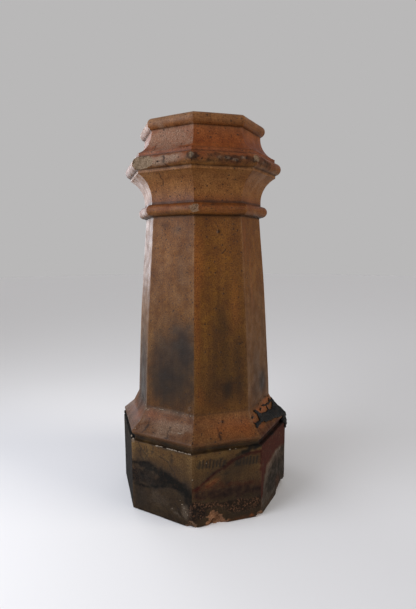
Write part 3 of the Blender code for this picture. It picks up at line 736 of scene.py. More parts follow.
class Skin:
    """The pot's points as seen by whoever stains them: face, place on it in millimetres, and noise."""

    def __init__(self, points, normals):
        self.points = points
        self.outside = (points * normals)[:, :2].sum(1) > -0.002
        self.bearings = faces_of(points)
        self.height = points[:, 2] / MM
        self.rough = layered_field(points, EDGE_LAYERS)

    def each(self, stains):
        """Every stain of a table, after which points are on its face and how far along it they lie."""
        for bearing, places in stains.items():
            on_face = self.outside & (self.bearings == bearing)
            across = on_face_plane(self.points, bearing)[0]
            for place in places:
                yield on_face, across, *place

    def blots(self, blots, ragged=0.18, soft=0.85):
        """Soft-edged ragged ovals."""
        amount = np.zeros(len(self.points))
        for on_face, across, along, height, half_width, half_height, strength, *lean in self.each(blots):
            turn = radians(sum(lean))
            right, up = across - along, self.height - height
            u = (right * cos(turn) + up * sin(turn)) / half_width
            v = (up * cos(turn) - right * sin(turn)) / half_height
            edge = 1 - np.hypot(u, v) + ragged * self.rough
            amount = 1 - (1 - amount) * (1 - strength * on_face * smoothstep(edge, 0, soft))
        return amount

    def areas(self, areas):
        """Whole areas with soft ragged edges."""
        amount = np.zeros(len(self.points))
        for on_face, across, outline, soft, strength in self.each(areas):
            inside = depth_inside(across, self.height, outline) + AREA_RAGGED * soft * self.rough
            amount = 1 - (1 - amount) * (1 - strength * on_face * smoothstep(inside, -0.5 * soft, soft))
        return amount

    def bands(self, bands):
        """Soft-edged ragged lines."""
        amount = np.zeros(len(self.points))
        for on_face, across, path, half_width, strength in self.each(bands):
            away = distance_to_path(across, self.height, path) / half_width + LINE_RAGGED * self.rough
            amount = np.maximum(amount, strength * on_face * (1 - smoothstep(away, 0.3, 1.2)))
        return amount


# Rubbed corners: the fields of how worn they are, the least that shows, and how far from the corner, in
# millimetres, the rubbing starts to fade and ends
RUBBED_LAYERS = ((40, 41, 1.0), (5, 33, 0.6))
RUBBED_LEAST = 0.3
RUBBED_WIDTHS = (0.4, 2.6)


def rubbed_arrises(skin):
    """Corners of the shaft and the foot, rubbed pale where hands and ropes have caught them."""
    reach = np.sort(reaches(skin.points), 0)
    from_arris = (reach[-1] - reach[-2]) / sin(SIDE_ANGLE) / MM
    worn_through = smoothstep(layered_field(skin.points, RUBBED_LAYERS), -0.3, 0.6)
    plain = skin.outside * (skin.height < shaft_top / MM)
    rubbed = RUBBED_LEAST + (1 - RUBBED_LEAST) * worn_through
    return plain * rubbed * (1 - smoothstep(from_arris, *RUBBED_WIDTHS))


# Painted shade in the mouldings' inner corners, deepest in the quirk: height, reach in millimetres, strength
SHADED_JOINTS = (
    (FOOT_HEIGHT + 3 * MM, 7, 0.95), (shaft_top - 1 * MM, 4, 0.70), (lower_cavetto_foot - 9 * MM, 4, 0.65),
    (main_roll_foot, 2.0, 0.45), (main_roll_top, 2.2, 0.55), (upper_fillet_top, 2.0, 0.35),
    (upper_neck_top, 2.0, 0.40), (skirt_top, 2.2, 0.30),
)


def painted_joint_shade(skin):
    """How much of that painted shade lies on each point."""
    amount = np.zeros(len(skin.points))
    for height, reach, strength in SHADED_JOINTS:
        away = np.abs(skin.height - height / MM) / reach + LINE_RAGGED * skin.rough
        amount = np.maximum(amount, strength * (1 - smoothstep(away, 0.1, 1.1)))
    return amount * skin.outside


def linear(hex_colour):
    """A linear RGBA colour from an sRGB hex value."""
    channels = [int(hex_colour[place:place + 2], 16) / 255 for place in (0, 2, 4)]
    channels = [c / 12.92 if c <= 0.04045 else ((c + 0.055) / 1.055) ** 2.4 for c in channels]
    return (*channels, 1.0)


def add(material, kind, inputs=None, **settings):
    """Add a shader node with its settings; inputs takes values, or the sockets of other nodes to link."""
    tree = material.node_tree
    made = tree.nodes.new("ShaderNode" + kind)
    for name, value in settings.items():
        setattr(made, name, value)
    for socket, value in (inputs or {}).items():
        if isinstance(value, bpy.types.NodeSocket):
            tree.links.new(value, made.inputs[socket])
        else:
            made.inputs[socket].default_value = value
    return made


def new_material(name, roughness, ior, specular):
    """A material, and its Principled shader set to the constants of clay, bitumen, mortar or floor."""
    material = bpy.data.materials.new(name)
    material.use_nodes = True
    shader = material.node_tree.nodes["Principled BSDF"]
    shader.inputs["Roughness"].default_value = roughness
    shader.inputs["IOR"].default_value = ior
    shader.inputs["Specular IOR Level"].default_value = specular
    return material, shader


# Salt-glazed terracotta: a thin uneven glassy skin on brick-red clay. It gives a dull sheen at a glance,
# brown freckles where iron came through, red flushes on the cornice and straw browns on the shaft.
# Its own colour by height in millimetres, then the colours that lie over it and those that darken it
HEIGHT_TONES = (
    (0, "382a14"), (60, "3c2d15"), (110, "544024"), (172, "6e552d"), (190, "5e4226"), (200, "6e4b2a"),
    (236, "78502a"), (250, "66451e"), (330, "6a4a1e"), (480, "79521d"), (600, "7f541d"), (690, "7b501e"),
    (700, "845829"), (716, "855025"), (724, "7d4a24"), (745, "906334"), (790, "95693c"), (800, "7d552a"),
    (812, "87542d"), (828, "8f532b"), (850, "8e5028"), (880, "965b30"), (892, "8e6037"), (914, "987049"),
)
# Soot, which also paints shade in the moulding corners and on the lower left face
SOOT_AND_SHADE = "121311"
SCORCH = "110e09"
RUDDY = "3a130c"
WARM = "8a4d22"
LIME = "a39584"
RUBBED = "9a7a58"
OLD_BREAK = "7f6e5a"
FRESH_BREAK = "8a664c"
CRUST_DARK = "1b130d"
CRUST_LIGHT = "694c38"
CRACK = "120d0a"
FRECKLE = "24170e"
FLUE_SOOT = "1d1814"
CLOUD_TINT, MOTTLE_TINT, STREAK_TINT, GRAIN_TINT, SAND_TINT = "c8b69a", "c4a98a", "aca088", "9a846e", "a8927a"
# Sizes in millimetres. The clay's sand is nearer 0.5 mm and is drawn as 1.4 mm, since it shows no finer.
SAND_MM, GRAIN_MM, SPECK_MM, FRECKLE_MM, MOTTLE_MM, CLOUD_MM = 1.4, 2.6, 5.0, 9.0, 24.0, 90.0
CRUST_MM, SCAB_MM, STREAK_MM, CRUST_CLUSTER_MM = 3.0, 11.0, 13.0, 14.0
STREAK_STRETCH = 0.05
# Roughness of the glaze where it is glossiest and where it is worn, and of all that lies dull on it
GLOSSY, SATIN, MATT = 0.38, 0.54, 0.95
FLUE_SOOTED = 0.92
SHARP_DEGREES = 40


def terracotta_material(stains):
    """Colour by height, clouds and streaks, the stains and painted shade that the mesh carries, and grain and
    specks on all.
    """
    material, shader = new_material("salt_glazed_terracotta", roughness=0.5, ior=1.5, specular=0.13)
    place = add(material, "TexCoord").outputs["Object"]
    height = add(material, "SeparateXYZ", {0: place}).outputs["Z"]
    mask = {name: add(material, "Attribute", attribute_name=name).outputs["Fac"] for name in stains}

    def cloudy(size_mm, detail=2.0, stretch=(1, 1, 1), low=0.35, high=0.65):
        """Patches of a real size, spread over 0 to 1."""
        at = add(material, "Mapping", {"Vector": place, "Scale": stretch}).outputs[0]
        scale = 1 / (size_mm * MM)
        patches = add(material, "TexNoise", {"Vector": at, "Scale": scale, "Detail": detail})
        return add(material, "MapRange", {0: patches.outputs["Fac"], 1: low, 2: high}).outputs[0]

    def specks(spacing_mm, radius, soft):
        """Round specks of a real spacing: 1 in the middle of each, 0 between them."""
        cells = add(material, "TexVoronoi", {"Vector": place, "Scale": 1 / (spacing_mm * MM)})
        spread = add(material, "SeparateColor", {0: cells.outputs["Color"]}).outputs[0]
        reach = add(material, "MapRange", {0: spread, 1: 0.35, 4: radius}).outputs[0]
        edge = add(material, "Math", {0: reach, 1: cells.outputs["Distance"]}, operation="SUBTRACT")
        return add(material, "MapRange", {0: edge.outputs[0], 2: soft}).outputs[0]

    def ragged(name, breakup):
        """A mask whose soft edge is broken up by a pattern, so that it ends in flecks."""
        rough_edge = add(material, "Math", {0: breakup, 1: 0.42, 2: mask[name]}, operation="MULTIPLY_ADD")
        return add(material, "MapRange", {0: rough_edge.outputs[0], 1: 0.42, 2: 1.16}).outputs[0]

    cloud, mottle = cloudy(CLOUD_MM, 3), cloudy(MOTTLE_MM, 4)
    grain, sand = cloudy(GRAIN_MM, 3, low=0.3, high=0.7), cloudy(SAND_MM, 1, low=0.3, high=0.7)
    streak = cloudy(STREAK_MM, 3, (1, 1, STREAK_STRETCH))
    freckles, pepper = specks(FRECKLE_MM, 0.27, 0.06), specks(SPECK_MM, 0.36, 0.10)
    scab = cloudy(SCAB_MM, 5)
    flake = cloudy(CRUST_MM, 8, low=0.49, high=0.60)
    cluster = cloudy(CRUST_CLUSTER_MM, 3, low=0.36, high=0.54)
    flakes = add(material, "Math", {0: flake, 1: cluster}, operation="MULTIPLY").outputs[0]
    scorched, crusted, ruddy = ragged("scorch", scab), ragged("crust", scab), ragged("ruddy", scab)
    gap = add(material, "MapRange", {0: grain, 3: 1.0, 4: 0.82}).outputs[0]
    # Soot and painted shade, broken up by the grain
    soot_and_shade_cover = add(material, "Math", {0: mask["soot_and_shade"], 1: gap}, operation="MULTIPLY").outputs[0]
    powder = add(material, "Math", {0: mask["pale"], 1: sand}, operation="MULTIPLY").outputs[0]
    bare = add(material, "Math", {0: crusted, 1: flakes}, operation="MULTIPLY").outputs[0]

    wander = add(material, "MapRange", {0: mottle, 3: -4 * MM, 4: 4 * MM}).outputs[0]
    level_here = add(material, "Math", {0: height, 1: wander}, operation="ADD").outputs[0]
    share = add(material, "MapRange", {0: level_here, 2: POT_HEIGHT}).outputs[0]
    ramp = add(material, "ValToRGB", {0: share})
    tones = ramp.color_ramp.elements
    while len(tones) < len(HEIGHT_TONES):
        tones.new(0.5)
    for tone, (level_mm, colour) in zip(tones, HEIGHT_TONES):
        tone.position = level_mm * MM / POT_HEIGHT
        tone.color = linear(colour)

    # What lies over what: where, how much, its colour, and whether it covers (MIX) or darkens (MULTIPLY)
    layers = (
        (cloud, 0.45, CLOUD_TINT, "MULTIPLY"), (mottle, 0.50, MOTTLE_TINT, "MULTIPLY"),
        (streak, 0.36, STREAK_TINT, "MULTIPLY"), (mask["rubbed"], 0.22, RUBBED, "MIX"),
        (mask["warm"], 1.0, WARM, "MIX"), (ruddy, 0.92, RUDDY, "MIX"), (scorched, 0.96, SCORCH, "MIX"),
        (crusted, 0.82, CRUST_DARK, "MIX"), (bare, 0.85, CRUST_LIGHT, "MIX"), (powder, 1.0, LIME, "MIX"),
        (mask["old_break"], 1.0, OLD_BREAK, "MIX"), (mask["fresh_break"], 1.0, FRESH_BREAK, "MIX"),
        # The soot colour also lays the painted shade
        (soot_and_shade_cover, 1.0, SOOT_AND_SHADE, "MIX"), (grain, 0.80, GRAIN_TINT, "MULTIPLY"), (sand, 0.35, SAND_TINT, "MULTIPLY"),
        (pepper, 0.72, FRECKLE, "MIX"), (freckles, 0.85, FRECKLE, "MIX"),
        (mask["cracked"], 0.95, CRACK, "MIX"), (mask["flue"], 1.0, FLUE_SOOT, "MIX"),
    )
    skin_colour = ramp.outputs[0]
    for where, amount, colour, blend in layers:
        cover = add(material, "Math", {0: where, 1: amount}, operation="MULTIPLY").outputs[0]
        skin_colour = add(material, "Mix", {0: cover, 6: skin_colour, 7: linear(colour)},
                          data_type="RGBA", blend_type=blend).outputs[2]
    material.node_tree.links.new(skin_colour, shader.inputs["Base Color"])

    gloss = add(material, "MapRange", {0: mottle, 3: GLOSSY, 4: SATIN}).outputs[0]
    dull = scorched
    for covered in (crusted, ruddy, mask["old_break"], mask["fresh_break"], powder):
        dull = add(material, "Math", {0: dull, 1: covered}, operation="MAXIMUM").outputs[0]
    rough = add(material, "MapRange", {0: dull, 3: gloss, 4: MATT}).outputs[0]
    material.node_tree.links.new(rough, shader.inputs["Roughness"])

    relief = add(material, "Math", {0: sand, 1: 0.5, 2: grain}, operation="MULTIPLY_ADD").outputs[0]
    relief = add(material, "Math", {0: bare, 1: -0.8, 2: relief}, operation="MULTIPLY_ADD").outputs[0]
    bump = add(material, "Bump", {"Strength": 0.5, "Distance": 0.4 * MM, "Height": relief}).outputs[0]
    pitted = add(material, "Bump", {"Strength": 0.6, "Distance": 0.5 * MM, "Height": freckles,
                                    "Normal": bump}, invert=True).outputs[0]
    material.node_tree.links.new(pitted, shader.inputs["Normal"])
    return material


pot_shell = pot_mesh()
refined(pot_shell)
pot_normals = rows_of(pot_shell, "normal")
skin = Skin(rows_of(pot_shell, "co"), pot_normals)
pot_points, broken, fresh, cracked = worn(skin.points, pot_normals)
pot_shell.vertices.foreach_set("co", pot_points.ravel())
stains = {
    # The soot mask also holds painted shade: the moulding corners and the lower left face.
    "soot_and_shade": 1 - (1 - skin.blots(SOOT_AND_SHADE_BLOTS)) * (1 - painted_joint_shade(skin)) * (1 - skin.bands(SOOT_RUNS)),
    "scorch": np.maximum(skin.areas(SCORCHED_AREAS), skin.bands(SCORCHED_BANDS)),
    "crust": skin.areas(CRUSTED_AREAS),
    "ruddy": np.maximum(skin.bands(RUDDY_BANDS), skin.areas(RUDDY_AREAS)),
    "warm": skin.blots(WARM_BLOTS),
    "pale": skin.blots(PALE_BLOTS, ragged=0.45, soft=0.5),
    "rubbed": rubbed_arrises(skin),
    "old_break": broken * (1 - fresh),
    "fresh_break": broken * fresh,
    "cracked": cracked,
    "flue": FLUE_SOOTED * ~skin.outside * (skin.points[:, 2] < POT_HEIGHT - 1 * MM),
}
for stain, amounts in stains.items():
    carried = pot_shell.attributes.new(stain, "FLOAT", "POINT")
    carried.data.foreach_set("value", np.asarray(amounts, dtype=np.float32))
pot_shell.materials.append(terracotta_material(stains))
pot_shell.shade_smooth()
pot_shell.set_sharp_from_angle(angle=radians(SHARP_DEGREES))
pot = placed("pot", pot_shell)
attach(pot, "root")
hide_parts("chimney_pot")

# The old bitumen
# A skin of roofing bitumen daubed over the skirt's right-hand corner, where a flashing was once sealed. It
# runs over the lip, fills the quirk there and hangs on the foot; its upper edge has flaked to a network.
# Sizes in millimetres
BITUMEN_THICKNESS = 3.9
BITUMEN_EDGE = 0.3
BITUMEN_SUNK = 0.6
THREAD_THICKNESS = 1.6
THREAD_HALF_WIDTH = 2.6
BITUMEN_CELL = 1.5
BITUMEN_LOWEST = 153
BITUMEN_SPAN = (-155.0, 42.0)
# How far in from their edges the patch and its threads take to gain their thickness, and how ragged the
# threads are; then the fields of its ragged edge and its lumps: size in millimetres, seed and weight of each
BITUMEN_SWELL, THREAD_SWELL, THREAD_RAGGED = 1.8, 1.2, 0.7
RAGGED_LAYERS = ((9, 51, 1.8), (4, 52, 1.5))
LUMP_LEVEL = 0.72
LUMP_LAYERS = ((13, 53, 0.30), (6, 54, 0.55))
# Over how many millimetres the patch turns round the corner
CORNER_EASE = 8
BITUMEN = "0b0a09"
BITUMEN_DUST = "241e19"
ALLIGATOR_MM, DUST_MM, BITUMEN_GRIT_MM = 7.0, 9.0, 2.0
# Its outline as points along the right-hand face and up it, in millimetres, carried on round the corner
BITUMEN_OUTLINE = (
    (-49, 238.4), (-40, 240), (-31, 235), (-24, 228.5), (-14, 223), (8, 219.5), (25, 218), (40, 217),
    (50, 219), (58, 224), (64, 233), (72, 237), (80, 234), (88, 224), (98, 212), (108, 200), (108, 192),
    (98, 189), (92, 182), (90, 160), (83, 155), (75, 158), (70, 176), (67, 190), (54, 196), (28, 199.5),
    (2, 203), (-18, 205), (-27, 207.5), (-28, 210.5), (-47, 210.5), (-66, 209), (-75, 209), (-69, 215.5),
    (-71, 221), (-61, 218.5), (-49, 215.5), (-40, 217), (-38.5, 220), (-39, 227),
)
BITUMEN_THREADS = (
    ((2, 236), (9, 234), (25, 230.5), (46, 230), (60, 232)), ((24, 230), (24, 224), (27, 218)),
    ((-14, 231), (-8, 233)), ((46, 230), (52, 237)), ((-66, 229), (-63, 230)))
bitumen_path = [(apothem, height) for apothem, height in reversed(skirt_line()) if height >= lip_centre[1]]
bitumen_path = finely_stepped(bitumen_path + [(FOOT_APOTHEM, FOOT_HEIGHT - FOOT_EDGE_RADIUS),
                                              (FOOT_APOTHEM, BITUMEN_LOWEST * MM)], BITUMEN_CELL * MM)
bitumen_edges = np.arange(*BITUMEN_SPAN, BITUMEN_CELL)


def bitumen_cover(edge, height, apothem):
    """How far inside the bitumen a place lies, in millimetres, and how thick it is there."""
    place = np.stack([edge, height, 0 * edge], 1) * MM
    ragged = layered_field(place, RAGGED_LAYERS)
    along = edge + apothem / MM * tan(HALF_SIDE)
    slab = depth_inside(along, height, BITUMEN_OUTLINE) + ragged
    threads = np.min([distance_to_path(along, height, thread) for thread in BITUMEN_THREADS], 0)
    threads = THREAD_HALF_WIDTH + THREAD_RAGGED * ragged - threads
    lumps = layered_field(place, LUMP_LAYERS, LUMP_LEVEL)
    thick = BITUMEN_THICKNESS * (1 - np.exp(-np.clip(slab, 0, None) / BITUMEN_SWELL)) * lumps
    thin = THREAD_THICKNESS * (1 - np.exp(-np.clip(threads, 0, None) / THREAD_SWELL))
    return np.maximum(slab, threads), np.maximum(thick, thin)


def on_corner(edge, row, lift):
    """A point of the skirt beside the bitumen's corner, lifted off it: edge and lift in millimetres."""
    before, after = bitumen_path[max(row - 1, 0)], bitumen_path[min(row + 1, len(bitumen_path) - 1)]
    slope = Vector((after[0] - before[0], after[1] - before[1])).normalized()
    outward, up = -slope.y * lift * MM, slope.x * lift * MM
    apothem, height = bitumen_path[row]
    turn = min(max(edge / CORNER_EASE + 0.5, 0), 1)
    facing = radians(RIGHT + (FAR_RIGHT - RIGHT) * turn)
    corner = radians(BITUMEN_CORNER)
    sideways = face_axes(RIGHT if edge < 0 else FAR_RIGHT)[1] * edge * MM
    reach = apothem / cos(HALF_SIDE)
    return (min(cos(corner) * reach + sideways[0] + cos(facing) * outward, cad_box[1][0]),
            sin(corner) * reach + sideways[1] + sin(facing) * outward, height + up)


def bitumen_mesh():
    """A closed skin: its outer side swells from a thin edge, its inner side is keyed into the clay."""
    edges, rows = np.meshgrid(bitumen_edges, np.arange(len(bitumen_path)), indexing="ij")
    apothems, heights = np.array(bitumen_path).T
    inside, thickness = bitumen_cover(edges.ravel(), heights[rows.ravel()] / MM, apothems[rows.ravel()])
    inside, thickness = inside.reshape(edges.shape), thickness.reshape(edges.shape)
    covered = inside > 0
    cells = covered[:-1, :-1] & covered[1:, :-1] & covered[:-1, 1:] & covered[1:, 1:]
    bm = bmesh.new()
    outer, inner = {}, {}
    for column, row in np.argwhere(cells):
        for key in ((column, row), (column, row + 1), (column + 1, row + 1), (column + 1, row)):
            if key not in outer:
                edge = bitumen_edges[key[0]]
                outer[key] = bm.verts.new(on_corner(edge, key[1], BITUMEN_EDGE + thickness[key]))
                inner[key] = bm.verts.new(on_corner(edge, key[1], -BITUMEN_SUNK))
    for column, row in np.argwhere(cells):
        loop = [(column, row), (column, row + 1), (column + 1, row + 1), (column + 1, row)]
        bm.faces.new([outer[key] for key in loop])
        bm.faces.new([inner[key] for key in reversed(loop)])
        for index, (across, down) in enumerate(((-1, 0), (0, 1), (1, 0), (0, -1))):
            beside = (column + across, row + down)
            on_sheet = 0 <= beside[0] < cells.shape[0] and 0 <= beside[1] < cells.shape[1]
            if not (on_sheet and cells[beside]):
                start, end = loop[index], loop[(index + 1) % 4]
                bm.faces.new((inner[start], inner[end], outer[end], outer[start]))
    bmesh.ops.recalc_face_normals(bm, faces=bm.faces)
    mesh = bpy.data.meshes.new("bitumen")
    bm.to_mesh(mesh)
    bm.free()
    mesh.shade_smooth()
    return mesh


def bitumen_material():
    """Weathered bitumen: dead black with a greasy gleam on its lumps, crazed like hide and greyed by dust."""
    material, shader = new_material("weathered_bitumen", roughness=0.8, ior=1.6, specular=0.12)
    place = add(material, "TexCoord").outputs["Object"]
    dust = add(material, "TexNoise", {"Vector": place, "Scale": 1 / (DUST_MM * MM), "Detail": 4.0})
    dust = add(material, "MapRange", {0: dust.outputs["Fac"], 1: 0.50, 2: 0.75}).outputs[0]
    hide = add(material, "TexVoronoi", {"Vector": place, "Scale": 1 / (ALLIGATOR_MM * MM)},
               feature="DISTANCE_TO_EDGE")
    craze = add(material, "MapRange", {0: hide.outputs["Distance"], 2: 0.12}).outputs[0]
    grit = add(material, "TexNoise", {"Vector": place, "Scale": 1 / (BITUMEN_GRIT_MM * MM)})
    tone = add(material, "Mix", {0: dust, 6: linear(BITUMEN), 7: linear(BITUMEN_DUST)}, data_type="RGBA")
    material.node_tree.links.new(tone.outputs[2], shader.inputs["Base Color"])
    gleam = add(material, "MapRange", {0: dust, 3: 0.60, 4: 0.95}).outputs[0]
    material.node_tree.links.new(gleam, shader.inputs["Roughness"])
    relief = add(material, "Math", {0: craze, 1: grit.outputs["Fac"]}, operation="ADD").outputs[0]
    bump = add(material, "Bump", {"Strength": 0.7, "Distance": 0.6 * MM, "Height": relief})
    material.node_tree.links.new(bump.outputs[0], shader.inputs["Normal"])
    return material


# How far a crumb may be turned where it sits, in radians, how lumpy it is and how close its lumps lie
CRUMB_SPIN, CRUMB_LUMPINESS, CRUMB_LUMPS = 0.15, 0.45, 1.7


def crumb(bm, point, outward, half_sizes, lumps):
    """One crumb: a lumpy flattened ball sunk a little into what carries it. Half sizes in millimetres."""
    made = bmesh.ops.create_icosphere(bm, subdivisions=2, radius=1.0)["verts"]
    turn = Vector(outward).to_track_quat("Z", "Y").to_matrix().to_4x4()
    spin = Matrix.Rotation(lumps.uniform(-CRUMB_SPIN, CRUMB_SPIN), 4, "Z")
    shift = Vector((lumps.uniform(0, 50), lumps.uniform(0, 50), 0))
    for vertex in made:
        vertex.co *= 1 + CRUMB_LUMPINESS * noise.noise(vertex.co * CRUMB_LUMPS + shift)
        vertex.co = Vector([value * half * MM for value, half in zip(vertex.co, half_sizes)])
        vertex.co = Vector(point) + turn @ (spin @ vertex.co)
        vertex.co.xy = [min(max(value, -FOOT_APOTHEM), FOOT_APOTHEM) for value in vertex.co.xy]
        vertex.co.z = max(vertex.co.z, 0)


def crumbs_piece(name, bm, material):
    """Close a mesh of crumbs into one piece."""
    mesh = bpy.data.meshes.new(name)
    bm.to_mesh(mesh)
    bm.free()
    mesh.shade_smooth()
    mesh.materials.append(material)
    return placed(name, mesh)


def on_face(bearing, along, height, apothem):
    """A point on a face: along and height in millimetres, apothem in metres."""
    outward, sideways = face_axes(bearing)
    return outward * apothem + sideways * along * MM + np.array([0, 0, height * MM])


bitumen = placed("old_bitumen", bitumen_mesh())
bitumen.data.materials.append(bitumen_material())
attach(bitumen, "root")
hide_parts("bitumen_patch")

# Bitumen dabs
# Drips and dabs of the same bitumen away from the patch: in the quirk at the left-hand corner, and flecks
# on the shaft above the patch.
DABS_AT_CORNERS = ((FAR_LEFT_CORNER, 9), (BITUMEN_CORNER, 36))
# How far in from the corner and how high above the foot they stick, and their half sizes, in millimetres;
# then how far they spread round the corner, in radians
DAB_INSET, DAB_RISE, DAB_SIZES = (6, 13), (0, 13), (3.0, 5.5)
DAB_SPREAD = 0.07
FLECK_THICKNESS = 0.7
FLECK_APOTHEM = 0.162
# How far the flecks face up, against 1 outwards
FLECK_LEAN = 0.4
# Each fleck: face, along and height in millimetres, half size in millimetres
FLECKS = ((RIGHT, 31, 250, 1.6), (RIGHT, 40, 246, 1.3), (RIGHT, 6, 247, 1.6), (RIGHT, 55, 243, 2.4),
          (RIGHT, -10, 243, 1.4), (FAR_RIGHT, -50, 240, 2.0), (FAR_RIGHT, -40, 232, 1.6))

bm = bmesh.new()
dab_lumps = random.Random("dabs")
for corner, dabs_there in DABS_AT_CORNERS:
    for _ in range(dabs_there):
        reach = foot_arris - dab_lumps.uniform(*DAB_INSET) * MM
        height = FOOT_HEIGHT + dab_lumps.uniform(*DAB_RISE) * MM
        turn = radians(corner) + dab_lumps.uniform(-DAB_SPREAD, DAB_SPREAD)
        outward = (cos(turn), sin(turn), 0)
        size = dab_lumps.uniform(*DAB_SIZES)
        point = (reach * cos(turn), reach * sin(turn), height)
        crumb(bm, point, outward, (size, size * 0.9, size), dab_lumps)
for bearing, along, height, size in FLECKS:
    apothem = SHAFT_FOOT_APOTHEM if height > skirt_top / MM else FLECK_APOTHEM
    outward = face_axes(bearing)[0] + np.array([0, 0, FLECK_LEAN])
    crumb(bm, on_face(bearing, along, height, apothem), outward, (size, size, FLECK_THICKNESS), dab_lumps)
dabs = crumbs_piece("bitumen_dabs", bm, bitumen.data.materials[0])
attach(dabs, "root")

# The mortar
# Remains of the lime mortar that the flaunching left: a thin broken line where the skirt meets the shaft,
# another on the ledge of the foot, and crumbs stuck to the foot.
# Each line: face, from, to and height in millimetres, distance from the axis, how much is left, thickness
MORTAR_LINES = (
    (FRONT_LEFT, -65, 66, 246.5, SHAFT_FOOT_APOTHEM, 0.45, 0.8),
    (FRONT_LEFT, -10, 82, 175.2, FOOT_APOTHEM - 2 * MM, 0.85, 1.5),
    (LEFT, -30, 60, 246.5, SHAFT_FOOT_APOTHEM, 0.35, 0.8),
    (BACK_LEFT, -60, 20, 175.5, FOOT_APOTHEM - 4 * MM, 0.35, 1.0),
    (BACK, -20, 60, 246.5, SHAFT_FOOT_APOTHEM, 0.3, 0.8),
)
# Each crumb: face, along and height in millimetres, distance from the axis, size in millimetres
MORTAR_CRUMBS = (
    (FRONT_LEFT, -64, 243, 0.1635, 2.6), (FRONT_LEFT, -67, 240, 0.1645, 1.8),
    (FRONT_LEFT, 58, 246, 0.1612, 2.0), (LEFT, 68, 177, 0.1975, 5.0), (FRONT_LEFT, -78, 177, 0.1985, 3.2),
    (FRONT, 6, 175.5, 0.199, 1.9), (FRONT, 20, 175.5, 0.199, 1.8), (FRONT, -50, 152, 0.201, 1.6),
    (FRONT, -82, 117, 0.2005, 1.9), (FRONT_LEFT, 45, 211, 0.1865, 2.4), (FRONT_LEFT, 41, 211.5, 0.1862, 1.8),
    (FRONT_LEFT, 57, 52, 0.2005, 1.6), (FRONT_LEFT, 62, 44, 0.2005, 1.3), (FRONT_LEFT, 66, 36, 0.2, 1.8),
    (FRONT_LEFT, 71, 30, 0.2, 1.5), (FRONT_LEFT, 74, 22, 0.1985, 2.0), (FRONT_LEFT, 78, 16, 0.197, 1.5),
    (FRONT_LEFT, 52, 60, 0.2005, 1.2), (FRONT_LEFT, 30, 34, 0.2005, 1.1), (FRONT_LEFT, -74, 202, 0.195, 1.8),
)
MORTAR = "9a8d7c"
MORTAR_HOLLOW = "584a3c"
MORTAR_GRIT_MM = 1.5
# Half lengths of the mortar's lumps in millimetres, and how many of them apart the lumps lie
MORTAR_LENGTHS = (1.5, 5.0)
MORTAR_STEP = 1.6
# How far they face up against 1 outwards, how far off their line they lie in millimetres, and their breadths
# and thickness as shares of the line's own; then a stuck crumb's length, breadths and thickness as shares of
# its size
MORTAR_LEAN = 0.8
MORTAR_DRIFT = (-0.8, 0.4)
MORTAR_BREADTHS, MORTAR_THICKNESS = (0.4, 1.0), 0.5
STUCK_LENGTH, STUCK_BREADTHS, STUCK_THICKNESS = 0.8, (0.3, 0.8), 0.4


def mortar_material():
    """Old lime mortar: a chalky off-white, sandy to the touch and greyed in its hollows."""
    material, shader = new_material("lime_mortar", roughness=0.92, ior=1.5, specular=0.2)
    place = add(material, "TexCoord").outputs["Object"]
    scale = 1 / (MORTAR_GRIT_MM * MM)
    sand = add(material, "TexNoise", {"Vector": place, "Scale": scale, "Detail": 3.0})
    sand = add(material, "MapRange", {0: sand.outputs["Fac"], 1: 0.35, 2: 0.65}).outputs[0]
    tone = add(material, "Mix", {0: sand, 6: linear(MORTAR_HOLLOW), 7: linear(MORTAR)}, data_type="RGBA")
    material.node_tree.links.new(tone.outputs[2], shader.inputs["Base Color"])
    bump = add(material, "Bump", {"Strength": 0.6, "Distance": 0.4 * MM, "Height": sand})
    material.node_tree.links.new(bump.outputs[0], shader.inputs["Normal"])
    return material


bm = bmesh.new()
mortar_lumps = random.Random("mortar")
for bearing, start, end, height, apothem, share, bulk in MORTAR_LINES:
    along = start
    while along < end:
        length = mortar_lumps.uniform(*MORTAR_LENGTHS)
        if mortar_lumps.random() < share:
            outward = face_axes(bearing)[0] + np.array([0, 0, MORTAR_LEAN])
            point = on_face(bearing, along, height + mortar_lumps.uniform(*MORTAR_DRIFT), apothem)
            half_sizes = (length, mortar_lumps.uniform(*MORTAR_BREADTHS) * bulk, MORTAR_THICKNESS * bulk)
            crumb(bm, point, outward, half_sizes, mortar_lumps)
        along += length * MORTAR_STEP
for bearing, along, height, apothem, size in MORTAR_CRUMBS:
    half_sizes = (size * STUCK_LENGTH, size * mortar_lumps.uniform(*STUCK_BREADTHS), size * STUCK_THICKNESS)
    crumb(bm, on_face(bearing, along, height, apothem), face_axes(bearing)[0], half_sizes, mortar_lumps)
mortar = crumbs_piece("lime_mortar", bm, mortar_material())
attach(mortar, "root")

# The floor and the light
# A pale matt floor and a pale backdrop. The light is that of a room: a broad soft light from the right, a
# tall window on the left, a small one behind, and a glow that is strongest from the back left.
FLOOR_REACH = 9.0
FLOOR_SIDES = 96
FLOOR = "e3e1de"
BACKDROP = "b9b8b8"
AMBIENT = "f4f6ff"
AMBIENT_FROM = (-0.60, 0.30, 0.74)
AMBIENT_LEAST, AMBIENT_MOST = 0.02, 0.66
WINDOW_AIMS_AT = Vector((0, 0, 0.95))
RIGHT_LIGHT_BEARING, RIGHT_LIGHT_RISE, RIGHT_LIGHT_WIDTH = 56.0, 13.0, 36.0

floor_mesh = bpy.data.meshes.new("floor")
turns = [2 * pi * step / FLOOR_SIDES for step in range(FLOOR_SIDES)]
floor_mesh.from_pydata([(FLOOR_REACH * cos(turn), FLOOR_REACH * sin(turn), 0) for turn in turns], [],
                       [tuple(range(FLOOR_SIDES))])
floor_material, floor_shader = new_material("matt_floor", roughness=1.0, ior=1.45, specular=0.0)
floor_shader.inputs["Base Color"].default_value = linear(FLOOR)
floor_mesh.materials.append(floor_material)
placed("floor", floor_mesh)

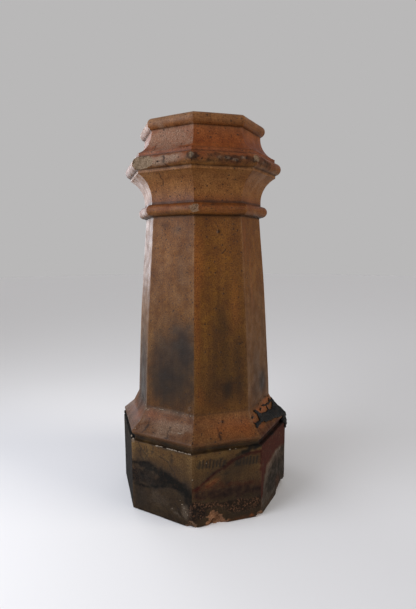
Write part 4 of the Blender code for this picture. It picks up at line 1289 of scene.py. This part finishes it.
world = bpy.data.worlds.new("studio")
world.use_nodes = True
scene.world = world
heading = add(world, "TexCoord").outputs["Generated"]
facing = add(world, "VectorMath", {0: heading, 1: AMBIENT_FROM}, operation="DOT_PRODUCT")
from_there = facing.outputs["Value"]
glow = add(world, "MapRange", {0: from_there, 1: -1.0, 2: 1.0, 3: AMBIENT_LEAST, 4: AMBIENT_MOST}).outputs[0]
ambient = add(world, "Background", {"Color": linear(AMBIENT), "Strength": glow}).outputs[0]
backdrop = add(world, "Background", {"Color": linear(BACKDROP)}).outputs[0]
seen = add(world, "LightPath").outputs["Is Camera Ray"]
chosen = add(world, "MixShader", {0: seen, 1: ambient, 2: backdrop}).outputs[0]
world.node_tree.links.new(chosen, world.node_tree.nodes["World Output"].inputs["Surface"])


def lit_from(name, kind, towards, power, colour):
    """A lamp that shines from the direction towards."""
    lamp = bpy.data.lights.new(name, kind)
    lamp.energy = power
    lamp.color = linear(colour)[:3]
    light = placed(name, lamp)
    light.rotation_mode = "QUATERNION"
    light.rotation_quaternion = towards.to_track_quat("Z", "Y")
    return light


def window_light(name, place, size, power, spread, colour):
    """A soft panel that faces the pot from outside the picture, with the angle that its light keeps to."""
    light = lit_from(name, "AREA", Vector(place) - WINDOW_AIMS_AT, power, colour)
    light.location = place
    light.visible_camera = False
    light.data.shape = "RECTANGLE"
    light.data.size, light.data.size_y = size
    light.data.spread = radians(spread)


turn, rise = radians(RIGHT_LIGHT_BEARING), radians(RIGHT_LIGHT_RISE)
towards_right = Vector((sin(turn) * cos(rise), -cos(turn) * cos(rise), sin(rise)))
right_light = lit_from("right_light", "SUN", towards_right, power=2.45, colour="fffaf2")
right_light.data.angle = radians(RIGHT_LIGHT_WIDTH)
window_light("left_window", (-1.42, -0.36, 1.12), (1.4, 1.8), power=28.0, spread=150.0, colour="eef3ff")
window_light("back_window", (-0.62, 1.55, 0.98), (0.9, 1.1), power=3.4, spread=90.0, colour="f4f7ff")
scene.view_settings.view_transform = "Standard"
